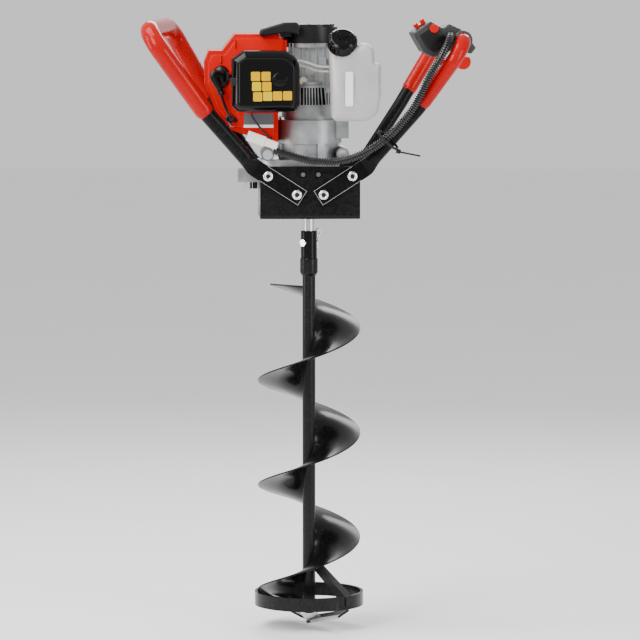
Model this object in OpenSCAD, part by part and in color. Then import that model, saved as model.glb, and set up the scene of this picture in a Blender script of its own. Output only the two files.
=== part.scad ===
// Petrol ice auger: a two-stroke powerhead in a sheet frame with two hand loops, driving a screw bit.
// X is to the right, Y to the back, Z up. The origin is the tip of the bit's centre point.

/* [Bit] */
// Outer radius of the screw flight
flight_r = 95; // [80:1:110]
// Rise of the flight in one turn
flight_pitch = 195; // [150:5:240]
// Thickness of the flight's sheet
flight_t = 3; // [2:0.5:5]
// Outer radius of the bit's centre tube
tube_r = 12; // [10:0.5:14]
// Height of the cutter ring's lower edge
ring_z = 37; // [30:1:45]

/* [Drive shaft] */
// Radius of the output shaft
shaft_r = 10; // [9:0.5:10]
// Height of the coupling's top
coupling_top = 733; // [725:1:740]
// Radial clearance of a shaft in its bearing
running = 0.05; // [0.02:0.01:0.1]

/* [Frame] */
// Length of the channel frame
frame_l = 183; // [175:1:200]
// Outer depth of the channel frame
frame_d = 150; // [146:1:160]
// Height of the channel frame
frame_h = 97; // [94:1:100]
// Thickness of the frame's sheet
frame_t = 4; // [3:0.5:5]
// Height of the frame's underside
frame_z = 759; // [759:1:759]

/* [Hand loops] */
// Radius of the left loop's tube
left_tube_r = 14.5; // [12:0.5:16]
// Radius of the right loop's tube
right_tube_r = 12; // [11:0.5:14]
// Thickness of the dipped grip on the left loop
left_grip_t = 3; // [1:0.5:4]
// Thickness of the dipped grip on the right loop
right_grip_t = 2; // [1:0.5:3]
// Height of the left hand bar
left_bar_z = 1105; // [1090:1:1112]
// Height of the right hand bar
right_bar_z = 1086; // [1080:1:1110]
// Half the length of a hand bar
bar_half = 140; // [130:1:145]

/* [Fuel tank] */
// Width of the tank
tank_w = 95; // [90:1:100]
// Depth of the tank
tank_d = 85; // [80:1:86]
// Corner radius of the tank
tank_round = 14; // [10:1:16]

/* [Hidden] */
$fn = 48;

// Heights along the drive axis
case_z = frame_z + frame_t;
case_top = 850;
cover_top = 870;
clutch_top = 905;
fan_top = 1001;
crankcase_top = 1080;
recoil_top = 1114;

// Gear train: two stages of 5 and 4 to 1 between one pair of centres
gear_offset = 45;
fine_module = 1.25;
coarse_module = 1.5;
small_teeth = 12;
fine_teeth = 60;
coarse_teeth = 48;

// Hand loops: points of a leg at the right, front, seen from the frame upwards
strip_y = frame_d / 2;
leg_foot = [103, -strip_y - 3, 855];
leg_knee = [196, -105, 962];
leg_knee_rear = [174, 105, 962];
leg_foot_rear = [103, strip_y + 3, 855];
left_bar_front = [298, -bar_half, left_bar_z];
left_bar_rear = [256, bar_half, left_bar_z];
right_bar_front = [283, -bar_half, right_bar_z];
right_bar_rear = [250, bar_half, right_bar_z];
corner_bend = 38;
knee_bend = 160;
strip_w = 32;
strip_t = 6;
strip_angle = 32.8;
bolt_places = [[24.3, 804.5], [77, 838.5]];
bolt_r = 4;
// Heights at which the grips begin, on the front leg and on the rear leg
left_grip_z = [954, 972];
right_grip_z = [970, 984];

// Cylinder and piston, lying to the left of the crankshaft
cylinder_z = 1026;
bore_r = 20;
crank_r = 7.5;

// Air filter, in front of the cylinder
filter_left = -144;
filter_right = -20.5;
filter_low = 957.5;
filter_high = 1069;
filter_front = -140;
knob_place = [-57, 1016.5];

// Fuel tank, to the right of the crankcase
tank_x = 34;
tank_y = -140;
tank_z = 941;
tank_top = 1082;
neck_base = [57, -111, 1071];
neck_way = [0, -1, 1];
neck_r = 19.5;

// Throttle housing: its outline about the right hand bar, and its place along it
housing_mid = right_bar_front + (right_bar_rear - right_bar_front) * 2 / 7;
bar_way = (right_bar_rear - right_bar_front) / norm(right_bar_rear - right_bar_front);
housing_half = 28;
housing_outline = [[-91, 13], [-59, 35], [-36, 22], [-24, 30], [-2, 20], [13, 3], [26, -14],
                   [17, -25], [2, -19], [-20, -19], [-53, -31], [-72, -20]];
trigger_pivot = [-40, -17];
// Lean of the face that carries the stop switch
switch_lean = atan2(housing_outline[0][1] - housing_outline[1][1],
                    housing_outline[1][0] - housing_outline[0][0]);

// Routes of the cords that the object holds
conduit_route = [[-68, -97, 886], [-46, -99, 880], [-25, -100, 874], [0, -101, 868], [22, -102, 866],
                 [45, -103, 866], [66, -104, 870], [88, -105, 878], [108, -106, 888],
                 [128, -108, 901], [148, -112, 919], [168, -117, 942], [186, -123, 966],
                 [200, -130, 992], [212, -136, 1018], [224, -140, 1040], [234, -141, 1056],
                 [242, -138, 1070], [248, -130, 1082], [252, -118, 1090], [254.2, -104, 1094],
                 [255.2, -88, 1097]];
lead_route = [[-163, -86, 992], [-161, -86, 983], [-158, -85, 973], [-154, -84, 963],
              [-149, -82, 953], [-145, -79, 947]];
wire_route = [[-108, -104, 954.5], [-104.5, -103, 946], [-98, -101, 937], [-90, -99, 926],
              [-80, -98, 916], [-70, -97, 908]];
hose_route = [[-62, -76, 1042], [-52, -76, 1043], [-28, -76, 1049], [-10, -76, 1047], [4, -77, 1042],
              [14, -78, 1039], [24, -79, 1038], [34, -80, 1038]];

function unit(v) = v / norm(v);
function flip_x(p) = [-p[0], p[1], p[2]];
function arc(centre, r, from, to, steps) =
    [for (i = [0:steps]) let (a = from + (to - from) * i / steps) centre + r * [cos(a), sin(a)]];
function curve(p, i, t) =
    let (a = p[max(i - 1, 0)], b = p[i], c = p[i + 1], d = p[min(i + 2, len(p) - 1)])
    0.5 * (2 * b + (c - a) * t + (2 * a - 5 * b + 4 * c - d) * t * t
           + (3 * b - a - 3 * c + d) * t * t * t);
function smooth(p, steps) = concat([for (i = [0:len(p) - 2]) for (k = [0:steps - 1])
                                    curve(p, i, k / steps)], [p[len(p) - 1]]);

// Puts a child's Z axis along a direction at a point
module place(point, way) {
    z = unit(way);
    side = abs(z[2]) > 0.95 ? [0, 1, 0] : [0, 0, 1];
    x = unit(cross(side, z));
    y = cross(z, x);
    multmatrix([[x[0], y[0], z[0], point[0]], [x[1], y[1], z[1], point[1]],
                [x[2], y[2], z[2], point[2]], [0, 0, 0, 1]]) children();
}

module rod(from, to, r) {
    place(from, to - from) cylinder(r = r, h = norm(to - from));
}

module pipe(h, r_out, r_in) {
    linear_extrude(h) difference() {
        circle(r_out);
        circle(r_in);
    }
}

// A closed surface through rings of points that follow each other along a path
module skin(points, sides) {
    rings = len(points) / sides;
    walls = [for (i = [0:rings - 2]) for (k = [0:sides - 1])
             let (a = i * sides + k, b = i * sides + (k + 1) % sides)
             for (half = [0, 1]) half == 0 ? [a, a + sides, b + sides] : [a, b + sides, b]];
    first = [for (k = [0:sides - 1]) k];
    last = [for (k = [sides - 1:-1:0]) (rings - 1) * sides + k];
    polyhedron(points, concat([first], walls, [last]), convexity = 8);
}

// A round cord along a route that never runs along Y
module cord(route, r, sides) {
    n = len(route);
    points = [for (i = [0:n - 1])
              let (t = unit(route[min(i + 1, n - 1)] - route[max(i - 1, 0)]),
                   x = unit(cross([0, 1, 0], t)), y = cross(t, x))
              for (k = [0:sides - 1])
              route[i] + r * (cos(360 * k / sides) * x + sin(360 * k / sides) * y)];
    skin(points, sides);
}

// Length that a bend of this radius takes off each leg at corner b
function bend_cut(a, b, c, bend) =
    let (turn = 180 - acos(unit(a - b) * unit(c - b))) bend * tan(turn / 2);

module elbow(a, b, c, bend, r) {
    u = unit(a - b);
    v = unit(c - b);
    turn = 180 - acos(u * v);
    centre = b + unit(u + v) * bend / sin((180 - turn) / 2);
    start = b + u * bend * tan(turn / 2);
    x = unit(start - centre);
    z = unit(cross(x, -u));
    y = cross(z, x);
    multmatrix([[x[0], y[0], z[0], centre[0]], [x[1], y[1], z[1], centre[1]],
                [x[2], y[2], z[2], centre[2]], [0, 0, 0, 1]])
        rotate_extrude(angle = turn) translate([bend, 0]) circle(r);
}

// A round bar bent at its inner points, one bend radius for each; a narrow collar closes each seam
module bent_bar(p, bends, r) {
    collar = 0.02;
    n = len(p);
    cuts = concat([0], [for (i = [1:n - 2]) bend_cut(p[i - 1], p[i], p[i + 1], bends[i - 1])], [0]);
    for (i = [0:n - 2]) {
        way = unit(p[i + 1] - p[i]);
        rod(p[i] + way * cuts[i], p[i + 1] - way * cuts[i + 1], r);
        if (i > 0) rod(p[i] + way * (cuts[i] - 0.5), p[i] + way * (cuts[i] + 0.5), r + collar);
        if (i < n - 2) rod(p[i + 1] - way * (cuts[i + 1] + 0.5), p[i + 1] - way * (cuts[i + 1] - 0.5),
                           r + collar);
    }
    for (i = [1:n - 2]) elbow(p[i - 1], p[i], p[i + 1], bends[i - 1], r);
}

// Spur gear with straight flanks, thin enough for generous backlash
module gear(teeth, mod, h) {
    pitch_r = teeth * mod / 2;
    step = 360 / teeth;
    points = [for (i = [0:teeth - 1]) for (corner = [[-1.2, -0.3], [0.9, -0.11], [0.9, 0.11], [-1.2, 0.3]])
              let (r = pitch_r + corner[0] * mod, a = (i + corner[1]) * step) [r * cos(a), r * sin(a)]];
    linear_extrude(h) polygon(points);
}

module hex_bolt(head_r, head_h, shank_r, shank_l) {
    cylinder(r = head_r, h = head_h, $fn = 6);
    translate([0, 0, -shank_l]) cylinder(r = shank_r, h = shank_l);
}

// Outline shared by the gear case and its cover: two round ends and the stretch between
module case_outline(drive_r, layshaft_r) {
    circle(drive_r);
    translate([-gear_offset, 0]) circle(layshaft_r);
    translate([-gear_offset, -layshaft_r]) square([gear_offset, 2 * layshaft_r]);
}

/* Frame and gearbox */

module channel_profile() {
    bend = 8;
    for (side = [-1, 1]) {
        translate([side > 0 ? frame_d / 2 - frame_t : -frame_d / 2, bend])
            square([frame_t, frame_h - bend]);
        intersection() {
            translate([side * (frame_d / 2 - bend), bend]) difference() {
                circle(bend);
                circle(bend - frame_t);
            }
            translate([side > 0 ? frame_d / 2 - bend : -frame_d / 2, 0]) square(bend);
        }
    }
    translate([-frame_d / 2 + bend, 0]) square([frame_d - 2 * bend, frame_t]);
}

spare_hole_x = [-13, 15];
spare_hole_z = 840;
spare_hole_r = 3.3;

module frame_bracket() {
    color([0.05, 0.05, 0.05]) difference() {
        translate([-frame_l / 2, 0, frame_z]) rotate([90, 0, 90]) linear_extrude(frame_l) channel_profile();
        translate([0, 0, frame_z - 1]) cylinder(r = 24, h = frame_t + 2);
        for (x = [-77, 77], y = [-55, 55]) translate([x, y, frame_z - 1]) cylinder(r = 3.3, h = frame_t + 2);
        for (side = [-1, 1]) for (p = bolt_places) {
            translate([side * p[0], frame_d / 2 + 1, p[1]]) rotate([90, 0, 0])
                cylinder(r = bolt_r + running, h = frame_d + 2);
        }
        for (x = spare_hole_x) {
            translate([x, -frame_d / 2 + frame_t + 1, spare_hole_z]) rotate([90, 0, 0])
                cylinder(r = spare_hole_r, h = frame_t + 2);
        }
    }
}

module gear_case() {
    color([0.66, 0.67, 0.68]) difference() {
        union() {
            translate([0, 0, case_z]) linear_extrude(case_top - case_z) case_outline(49, 49);
            translate([0, 0, frame_z]) cylinder(r = 23.5, h = case_z - frame_z);
            translate([-131, -20, 824]) cube([45, 40, 24]);
        }
        translate([0, 0, case_z + 5]) linear_extrude(case_top) case_outline(43, 43);
        translate([0, 0, frame_z - 1]) cylinder(r = 17.5, h = 20);
        for (y = [-11, 11]) translate([-113, y, 820]) cylinder(r = 4, h = 40);
    }
    color([0.66, 0.67, 0.68]) translate([0, 0, case_z + 5]) pipe(30, 27.5, 23.5);
    color([0.66, 0.67, 0.68]) translate([-gear_offset, 0, case_z + 5]) pipe(12, 17, 13);
}

module gear_case_cover() {
    color([0.7, 0.71, 0.72]) difference() {
        union() {
            translate([0, 0, case_top]) linear_extrude(cover_top - case_top - 4) case_outline(53, 52);
            translate([0, 0, case_top]) cylinder(r = 56, h = cover_top - case_top);
            translate([0, 0, case_top - 14]) cylinder(r = 21, h = 15);
            translate([-gear_offset, 0, case_top - 14]) cylinder(r = 17, h = 15);
            for (x = [-77, 61]) translate([x, -46, 876]) rotate([-90, 0, 0]) cylinder(r = 12, h = 92);
        }
        translate([0, 0, case_top - 15]) cylinder(r = 17.5, h = 40);
        translate([-gear_offset, 0, case_top - 15]) cylinder(r = 13, h = 15);
        translate([0, 0, cover_top]) cylinder(r = 60, h = 40);
        for (x = [-77, 61]) translate([x, -50, 876]) rotate([-90, 0, 0]) cylinder(r = 4, h = 100);
    }
}

module oil_seal() {
    color([0.12, 0.12, 0.12]) translate([0, 0, frame_z]) pipe(8, 17.5, shaft_r + running);
}

// Ball bearings: two on the output shaft, two on the layshaft, two on the pinion, two on the crank
module bearings() {
    color([0.75, 0.76, 0.78]) {
        for (z = [case_z + 6, case_z + 21]) translate([0, 0, z]) pipe(13, 23.5, shaft_r + running);
        translate([-gear_offset, 0, case_z + 6]) pipe(10, 13, 7 + running);
        translate([-gear_offset, 0, case_top - 12]) pipe(10, 13, 7 + running);
        for (z = [case_top - 12, case_top + 6]) translate([0, 0, z]) pipe(11, 17.5, 6.5 + running);
        for (z = [fan_top, crankcase_top - 24]) translate([0, 0, z]) pipe(9, 17.5, crank_r + running);
    }
}

module output_gear() {
    color([0.5, 0.5, 0.52]) translate([0, 0, 802]) difference() {
        gear(coarse_teeth, coarse_module, 14);
        translate([0, 0, -1]) cylinder(r = shaft_r, h = 16);
    }
}

module output_shaft() {
    color([0.78, 0.79, 0.8]) difference() {
        translate([0, 0, 697]) cylinder(r = shaft_r, h = 120);
        cross_pin_hole(4);
    }
}

module intermediate_gear() {
    color([0.5, 0.5, 0.52]) translate([-gear_offset, 0, 0]) {
        translate([0, 0, 772]) cylinder(r = 7, h = 74);
        translate([0, 0, 821]) rotate(180 / fine_teeth) gear(fine_teeth, fine_module, 10);
        translate([0, 0, 801]) rotate(180 / small_teeth) gear(small_teeth, coarse_module, 20);
    }
}

module input_pinion() {
    color([0.5, 0.5, 0.52]) {
        translate([0, 0, 820]) gear(small_teeth, fine_module, 12);
        translate([0, 0, 832]) cylinder(r = 6.5, h = 50);
    }
}

module clutch_drum() {
    color([0.45, 0.45, 0.47]) difference() {
        translate([0, 0, 874]) union() {
            pipe(26, 38, 36);
            cylinder(r = 38, h = 3);
            cylinder(r = 12, h = 8);
        }
        translate([0, 0, 870]) cylinder(r = 6.5, h = 20);
    }
}

module clutch_shoes() {
    color([0.35, 0.33, 0.3]) for (turn = [0, 180]) rotate(turn) {
        translate([0, 0, 885]) rotate_extrude(angle = 150) translate([16, 0]) square([18, 12]);
        rotate(75) translate([24, 0, 885]) cylinder(r = 4, h = 45);
    }
}

module clutch_housing() {
    color([0.62, 0.63, 0.64]) difference() {
        union() {
            translate([0, 0, cover_top]) cylinder(r = 54, h = clutch_top - cover_top);
            translate([0, 0, clutch_top - 9]) cylinder(r = 60, h = 9);
            for (turn = [20, 110, 200, 290]) rotate(turn) translate([54, -6, cover_top]) cube([5, 12, 30]);
        }
        translate([0, 0, cover_top - 1]) cylinder(r = 42, h = 60);
    }
}

module case_bolts() {
    color([0.8, 0.81, 0.82]) {
        for (x = [-77, 61]) translate([x, -46, 876]) rotate([90, 0, 0]) {
            cylinder(r = 9, h = 7);
            translate([0, 0, -90]) cylinder(r = 4, h = 90);
        }
        for (turn = [25, 65, 115, 155, 205, 335]) rotate(turn) translate([55.5, 0, clutch_top + band_h])
            hex_bolt(5, 4, 2.5, 12);
    }
    color([0.1, 0.1, 0.1]) for (y = [-11, 11]) translate([-113, y, 812]) {
        cylinder(r = 8, h = 12, $fn = 6);
        cylinder(r = 4, h = 38);
    }
}

/* Engine */

// Height of the fan housing's wide band
band_h = 34;

module fan_housing() {
    color([0.7, 0.71, 0.72]) difference() {
        union() {
            translate([0, 0, clutch_top]) cylinder(r = 61, h = band_h);
            translate([44, -36, clutch_top]) cube([28, 60, band_h]);
            translate([0, 0, clutch_top + band_h]) cylinder(r = 50, h = fan_top - clutch_top - band_h);
        }
        translate([0, 0, clutch_top - 1]) cylinder(r = 46.5, h = fan_top - clutch_top - 9);
        translate([0, 0, 990]) cylinder(r = 12, h = 20);
        for (i = [-3:3]) rotate(-68 + i * 9) translate([30, -1.8, 967]) cube([40, 3.6, 34 - 12]);
        for (turn = [25, 65, 115, 155, 205, 335]) rotate(turn) translate([55.5, 0, clutch_top + band_h - 12])
            cylinder(r = 2.5, h = 13);
    }
}

module flywheel() {
    color([0.6, 0.6, 0.62]) difference() {
        union() {
            translate([0, 0, 930]) cylinder(r = 42, h = 12);
            translate([0, 0, 942]) cylinder(r = 20, h = 40);
            for (i = [0:11]) rotate(30 * i) translate([18, -1.5, 942]) cube([24, 3, 34]);
        }
        translate([0, 0, 920]) cylinder(r = crank_r, h = 80);
        for (turn = [75, 255]) rotate(turn) translate([24, 0, 925]) cylinder(r = 4, h = 5.01);
    }
}

module crankshaft() {
    color([0.7, 0.7, 0.72]) {
        translate([0, 0, 906]) cylinder(r = crank_r, h = 114);
        translate([0, 0, 1034]) cylinder(r = crank_r, h = 50);
        translate([0, 0, 1012]) cylinder(r = 26, h = 9);
        translate([0, 0, 1031]) cylinder(r = 26, h = 9);
        translate([14, 0, 1021]) cylinder(r = 7, h = 10);
        translate([0, 0, 1082]) cylinder(r = 15, h = 4);
    }
}

module crankcase() {
    color([0.7, 0.71, 0.72]) difference() {
        union() {
            translate([-38, -36, fan_top]) cube([76, 72, crankcase_top - fan_top]);
            translate([0, 0, crankcase_top - 8]) cylinder(r = 50, h = 8);
            translate([0, 0, fan_top]) cylinder(r = 46, h = 8);
            for (x = [-32, -14, -4, 10, 24, 34]) translate([x, -41, fan_top]) cube([3, 6, crankcase_top - fan_top]);
            translate([0, -37, 1030]) rotate([90, 0, 0]) cylinder(r = 9, h = 6);
            translate([16, -54, 1040]) cube([14, 18, 14]);
        }
        translate([-60, -40, fan_top - 1]) cube([22, 80, 12]);
        translate([0, 0, fan_top + 9]) cylinder(r = 30, h = 46);
        translate([0, 0, fan_top - 1]) cylinder(r = 17.5, h = 20);
        translate([0, 0, crankcase_top - 25]) cylinder(r = 17.5, h = 30);
        translate([-40, 0, cylinder_z]) rotate([0, 90, 0]) cylinder(r = 22, h = 30);
    }
}

// Everything on the cylinder is turned about its own axis, which points to the left
module on_cylinder() {
    translate([-38, 0, cylinder_z]) rotate([0, -90, 0]) children();
}

plug_base = [-133, -14, 1025];
plug_tip = [-158, -64, 1021];

module cylinder_barrel() {
    on_cylinder() {
        cylinder(r = 25, h = 105);
        for (i = [0:8]) translate([0, 0, 14 + 8 * i]) cylinder(r = 38, h = 2.5);
        translate([0, 0, 88]) cylinder(r = 30, h = 18);
    }
    translate([-80, -44, cylinder_z]) rotate([-90, 0, 0]) cylinder(r = 14, h = 88);
}

module cylinder_node() {
    color([0.68, 0.69, 0.7]) difference() {
        cylinder_barrel();
        on_cylinder() translate([0, 0, -1]) cylinder(r = bore_r, h = 90);
        translate([-80, -50, cylinder_z]) rotate([-90, 0, 0]) cylinder(r = 9, h = 100);
        rod(plug_base, plug_tip, 5);
    }
}

module piston() {
    color([0.75, 0.76, 0.77]) on_cylinder() difference() {
        translate([0, 0, 45]) cylinder(r = bore_r - running, h = 32);
        translate([0, 0, 44]) cylinder(r = 15, h = 27);
        translate([0, -25, 57]) rotate([-90, 0, 0]) cylinder(r = 5, h = 50);
    }
}

module spark_plug() {
    color([0.85, 0.85, 0.84]) {
        rod(plug_base, plug_base + (plug_tip - plug_base) * 0.32, 5);
        rod(plug_base + (plug_tip - plug_base) * 0.36, plug_base + (plug_tip - plug_base) * 0.55, 9);
        rod(plug_base + (plug_tip - plug_base) * 0.3, plug_tip, 4.9);
    }
}

boot_top = [-184, -84, 1026];
boot_low = [-163, -86, 992];

module plug_boot() {
    color([0.05, 0.05, 0.05]) difference() {
        union() {
            rod([-161, -66, 1021], [-161, -72, 1021], 22);
            rod([-161, -72, 1021], [-161, -80, 1021], 17);
            rod([-163, -78, 1020], boot_top, 7.5);
            rod(boot_top, boot_low, 6.5);
            translate(boot_top) sphere(r = 8.2);
        }
        rod(plug_base, plug_tip + (plug_tip - plug_base) * 0.15, 5);
    }
}

module plug_lead() {
    color([0.05, 0.05, 0.05]) {
        cord(smooth(lead_route, 2), 2.6, 8);
    }
}

module ignition_coil() {
    color([0.12, 0.12, 0.13]) {
        translate([-138, -60, 930]) cube([36, 22, 20]);
        rod([-144, -78, 945], [-132, -58, 937], 4.5);
    }
}

// The shroud's face: a bump over the spark plug, a tall middle and a slanted foot
shroud_face = [[-193, 1045], [-192, 1005], [-172, 956], [-142, 921], [-110, 911], [-72, 901],
               [-58, 901], [-58, 957], [-42, 957], [-42, 1097], [-137, 1097], [-160, 1067], [-185, 1067]];

module shroud_block(from, depth) {
    translate([0, from + depth, 0]) rotate([90, 0, 0]) linear_extrude(depth) polygon(shroud_face);
}

module engine_shroud() {
    mid = [-116, 0, 1000];
    wall = 0.965;
    color([0.85, 0.06, 0.05]) difference() {
        shroud_block(-64.5, 122);
        translate(mid) scale(wall) translate(-mid) translate([0, 7.8, 0]) shroud_block(-72, 150);
        translate([0, 0, 890]) cylinder(r = 61.5, h = 111);
        translate([-52, -52, 1000]) cube([104, 200, 120]);
        translate([0, 0, 1060]) cylinder(r = 56, h = 60);
        translate([-116, -80, 990]) cube([68, 30, 66]);
        translate([-161, -50, 1021]) rotate([90, 0, 0]) cylinder(r = 12, h = 20);
        translate([-149, -70, 928]) cube([22, 30, 24]);
        translate([-55, -80, 1086]) cube([30, 90, 20]);
        translate([-130, 40, 960]) cube([90, 40, 100]);
    }
}

module carburettor() {
    color([0.72, 0.72, 0.7]) difference() {
        union() {
            translate([-98, -93, 1008]) cube([36, 36, 36]);
            translate([-92, -90, 998]) cube([24, 26, 10]);
            translate([-80, -57, cylinder_z]) rotate([-90, 0, 0]) cylinder(r = 13, h = 13);
        }
        translate([-80, -100, cylinder_z]) rotate([-90, 0, 0]) cylinder(r = 9, h = 70);
    }
}

choke_pivot = [-105, -95.5, 1022];

module choke_lever() {
    color([0.08, 0.08, 0.08]) {
        translate([-150, -97, 1018]) cube([40, 2, 7]);
        translate(choke_pivot + [0, -1.5, 0]) rotate([-90, 0, 0]) cylinder(r = 8, h = 2);
        translate([-153, -112, 1014]) cube([4.5, 17, 15]);
    }
}

module filter_base() {
    color([0.08, 0.08, 0.08]) difference() {
        filter_slab(-108, 10.5, 3.4);
        translate([-80, -110, cylinder_z]) rotate([-90, 0, 0]) cylinder(r = 9, h = 20);
        translate([knob_place[0], -110, knob_place[1]]) rotate([-90, 0, 0]) cylinder(r = 3, h = 20);
    }
    color([0.08, 0.08, 0.08]) translate([-80, -97.5, cylinder_z]) rotate([-90, 0, 0]) pipe(4.5, 13, 9);
}

module filter_element() {
    color([0.25, 0.25, 0.22]) difference() {
        translate([-130, -128, 976]) cube([88, 19, 80]);
        translate([knob_place[0], -130, knob_place[1]]) rotate([-90, 0, 0]) cylinder(r = 5, h = 30);
    }
}

// Outline of the filter cover: chamfered on the left, round on the right
function filter_outline(inset) =
    let (l = filter_left + inset, r = filter_right - inset, b = filter_low + inset,
         t = filter_high - inset, big = 34 - inset, small = 16 - inset * 0.5, cut = 15 - inset * 0.5)
    concat([[l, t - cut], [l, b + cut], [l + cut, b]],
           arc([r - small, b + small], small, -90, 0, 8),
           arc([r - big, t - big], big, 0, 90, 12), [[l + cut * 1.6, t]]);

module filter_slab(from, depth, inset) {
    translate([0, from + depth, 0]) rotate([90, 0, 0]) linear_extrude(depth) polygon(filter_outline(inset));
}

module filter_cover() {
    color([0.04, 0.04, 0.04]) difference() {
        union() {
            filter_slab(filter_front + 8, 32, 0);
            filter_slab(filter_front, 10, 9);
        }
        filter_slab(filter_front + 11, 40, 3);
        translate([knob_place[0], filter_front - 1, knob_place[1]]) rotate([-90, 0, 0])
            cylinder(r = 3 + running, h = 20);
        translate([knob_place[0], filter_front - 1, knob_place[1]]) rotate([-90, 0, 0])
            cylinder(r = 15, h = 3.5);
    }
}

module filter_knob() {
    color([0.06, 0.06, 0.06]) translate([knob_place[0], 0, knob_place[1]]) rotate([-90, 0, 0]) {
        translate([0, 0, filter_front + 1]) cylinder(r = 13.5, h = 1.2);
        translate([-12, -4, filter_front - 6]) cube([24, 8, 7.5]);
        translate([0, 0, filter_front]) cylinder(r = 3, h = 38);
    }
}

module muffler() {
    color([0.3, 0.3, 0.3]) difference() {
        union() {
            translate([-125, 50, 975]) cube([80, 46, 76]);
            translate([-80, 44, cylinder_z]) rotate([-90, 0, 0]) cylinder(r = 14, h = 8);
            translate([-60, 70, 985]) rotate([0, 90, 0]) cylinder(r = 6, h = 22);
        }
        translate([-122, 53, 978]) cube([74, 40, 70]);
        translate([-80, 40, cylinder_z]) rotate([-90, 0, 0]) cylinder(r = 9, h = 16);
        translate([-60, 70, 985]) rotate([0, 90, 0]) cylinder(r = 4, h = 30);
    }
    color([0.5, 0.5, 0.5]) for (i = [0:4]) translate([-125, 96, 982 + 13 * i]) cube([80, 3, 6]);
}

/* Fuel */

module tank_block(x, y, z, w, d, h, r) {
    hull() for (i = [r, w - r], j = [r, d - r], k = [r, h - r]) translate([x + i, y + j, z + k])
        sphere(r = r, $fn = 24);
}

module fuel_tank() {
    wall = 3;
    color([0.9, 0.9, 0.88]) difference() {
        union() {
            difference() {
                union() {
                    tank_block(tank_x, tank_y, tank_z, tank_w, tank_d, 1047 - tank_z, tank_round);
                    tank_block(tank_x, tank_y, tank_z, tank_w - 12, tank_d, tank_top - tank_z, tank_round);
                }
                place(neck_base, neck_way) translate([0, 0, 6]) cylinder(r = 31, h = 60);
            }
            place(neck_base, neck_way) translate([0, 0, -8]) cylinder(r = neck_r, h = 32);
        }
        difference() {
            tank_block(tank_x + wall, tank_y + wall, tank_z + wall, tank_w - 12 - 2 * wall,
                       tank_d - 2 * wall, tank_top - tank_z - 2 * wall, tank_round - wall);
            place(neck_base, neck_way) translate([0, 0, 2]) cylinder(r = 34, h = 60);
        }
        place(neck_base, neck_way) translate([0, 0, -14]) cylinder(r = 16, h = 60);
    }
}

module fuel_cap() {
    color([0.05, 0.05, 0.05]) place(neck_base, neck_way) difference() {
        union() {
            translate([0, 0, 8]) cylinder(r = 26.5, h = 20);
            translate([0, 0, 28]) cylinder(r = 22, h = 3);
            for (i = [0:17]) rotate(20 * i) translate([24, -1.5, 9]) cube([4, 3, 18]);
        }
        translate([0, 0, 7]) cylinder(r = neck_r + 0.5, h = 19.3);
    }
}

module cap_gasket() {
    color([0.15, 0.15, 0.15]) place(neck_base, neck_way) translate([0, 0, 24.1]) pipe(2, 18.5, 14);
}

module fuel_hoses() {
    color([0.85, 0.85, 0.8]) {
        cord(smooth(hose_route, 2), 2.2, 8);
        cord(smooth([for (p = hose_route) p + [0, 6, -9]], 2), 2.2, 8);
    }
}

/* Recoil starter */

reel_r = 30;
rope_x = -45;
handle_y = -70;

module recoil_housing() {
    color([0.06, 0.06, 0.06]) difference() {
        union() {
            translate([0, 0, crankcase_top]) cylinder(r = 53, h = recoil_top - crankcase_top - 5);
            translate([0, 0, recoil_top - 5]) cylinder(r = 47, h = 5);
            translate([-54, -62, crankcase_top + 12]) cube([20, 62, 14]);
        }
        translate([0, 0, crankcase_top - 1]) cylinder(r = 49, h = recoil_top - crankcase_top - 7.5);
        translate([0, 0, crankcase_top - 1]) cylinder(r = 43, h = recoil_top - crankcase_top - 3);
        for (i = [0:7]) rotate(45 * i) translate([24, -3, recoil_top - 10]) cube([18, 6, 20]);
        translate([rope_x, -80, crankcase_top + 19]) rotate([-90, 0, 0]) cylinder(r = 3, h = 80);
    }
    color([0.06, 0.06, 0.06]) translate([0, 0, crankcase_top + 9]) cylinder(r = 6, h = 22);
}

module starter_reel() {
    color([0.8, 0.8, 0.78]) translate([0, 0, crankcase_top + 12]) difference() {
        union() {
            cylinder(r = 36, h = 3);
            cylinder(r = reel_r, h = 14);
            translate([0, 0, 11]) cylinder(r = 36, h = 3);
        }
        translate([0, 0, -1]) cylinder(r = 6 + running, h = 20);
    }
}

module pull_handle() {
    color([0.05, 0.05, 0.05]) {
        translate([-56, handle_y - 8, 1106]) rotate([0, -11, 0]) union() {
            translate([-37, -8, -7]) cube([74, 16, 13]);
            translate([18, -9, -9]) cube([20, 18, 17]);
            translate([-38, 0, -0.5]) rotate([90, 0, 0]) cylinder(r = 6.5, h = 16, center = true);
        }
    }
    color([0.3, 0.3, 0.32]) translate([rope_x, handle_y - 2, crankcase_top + 19]) rotate([-90, 0, 0])
        cylinder(r = 2.2, h = 34);
}

/* Hand loops */

function loop_path(bar_front, bar_rear) =
    [leg_foot, leg_knee, bar_front, bar_rear, leg_knee_rear, leg_foot_rear];
left_path = loop_path(left_bar_front, left_bar_rear);
right_path = loop_path(right_bar_front, right_bar_rear);
loop_bends = [knee_bend, corner_bend, corner_bend, knee_bend];
// Round tube begins this far up the leg; below it the tube is pressed flat
flat_run = 26;

function at_height(a, b, z) = a + (b - a) * (z - a[2]) / (b[2] - a[2]);

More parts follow.
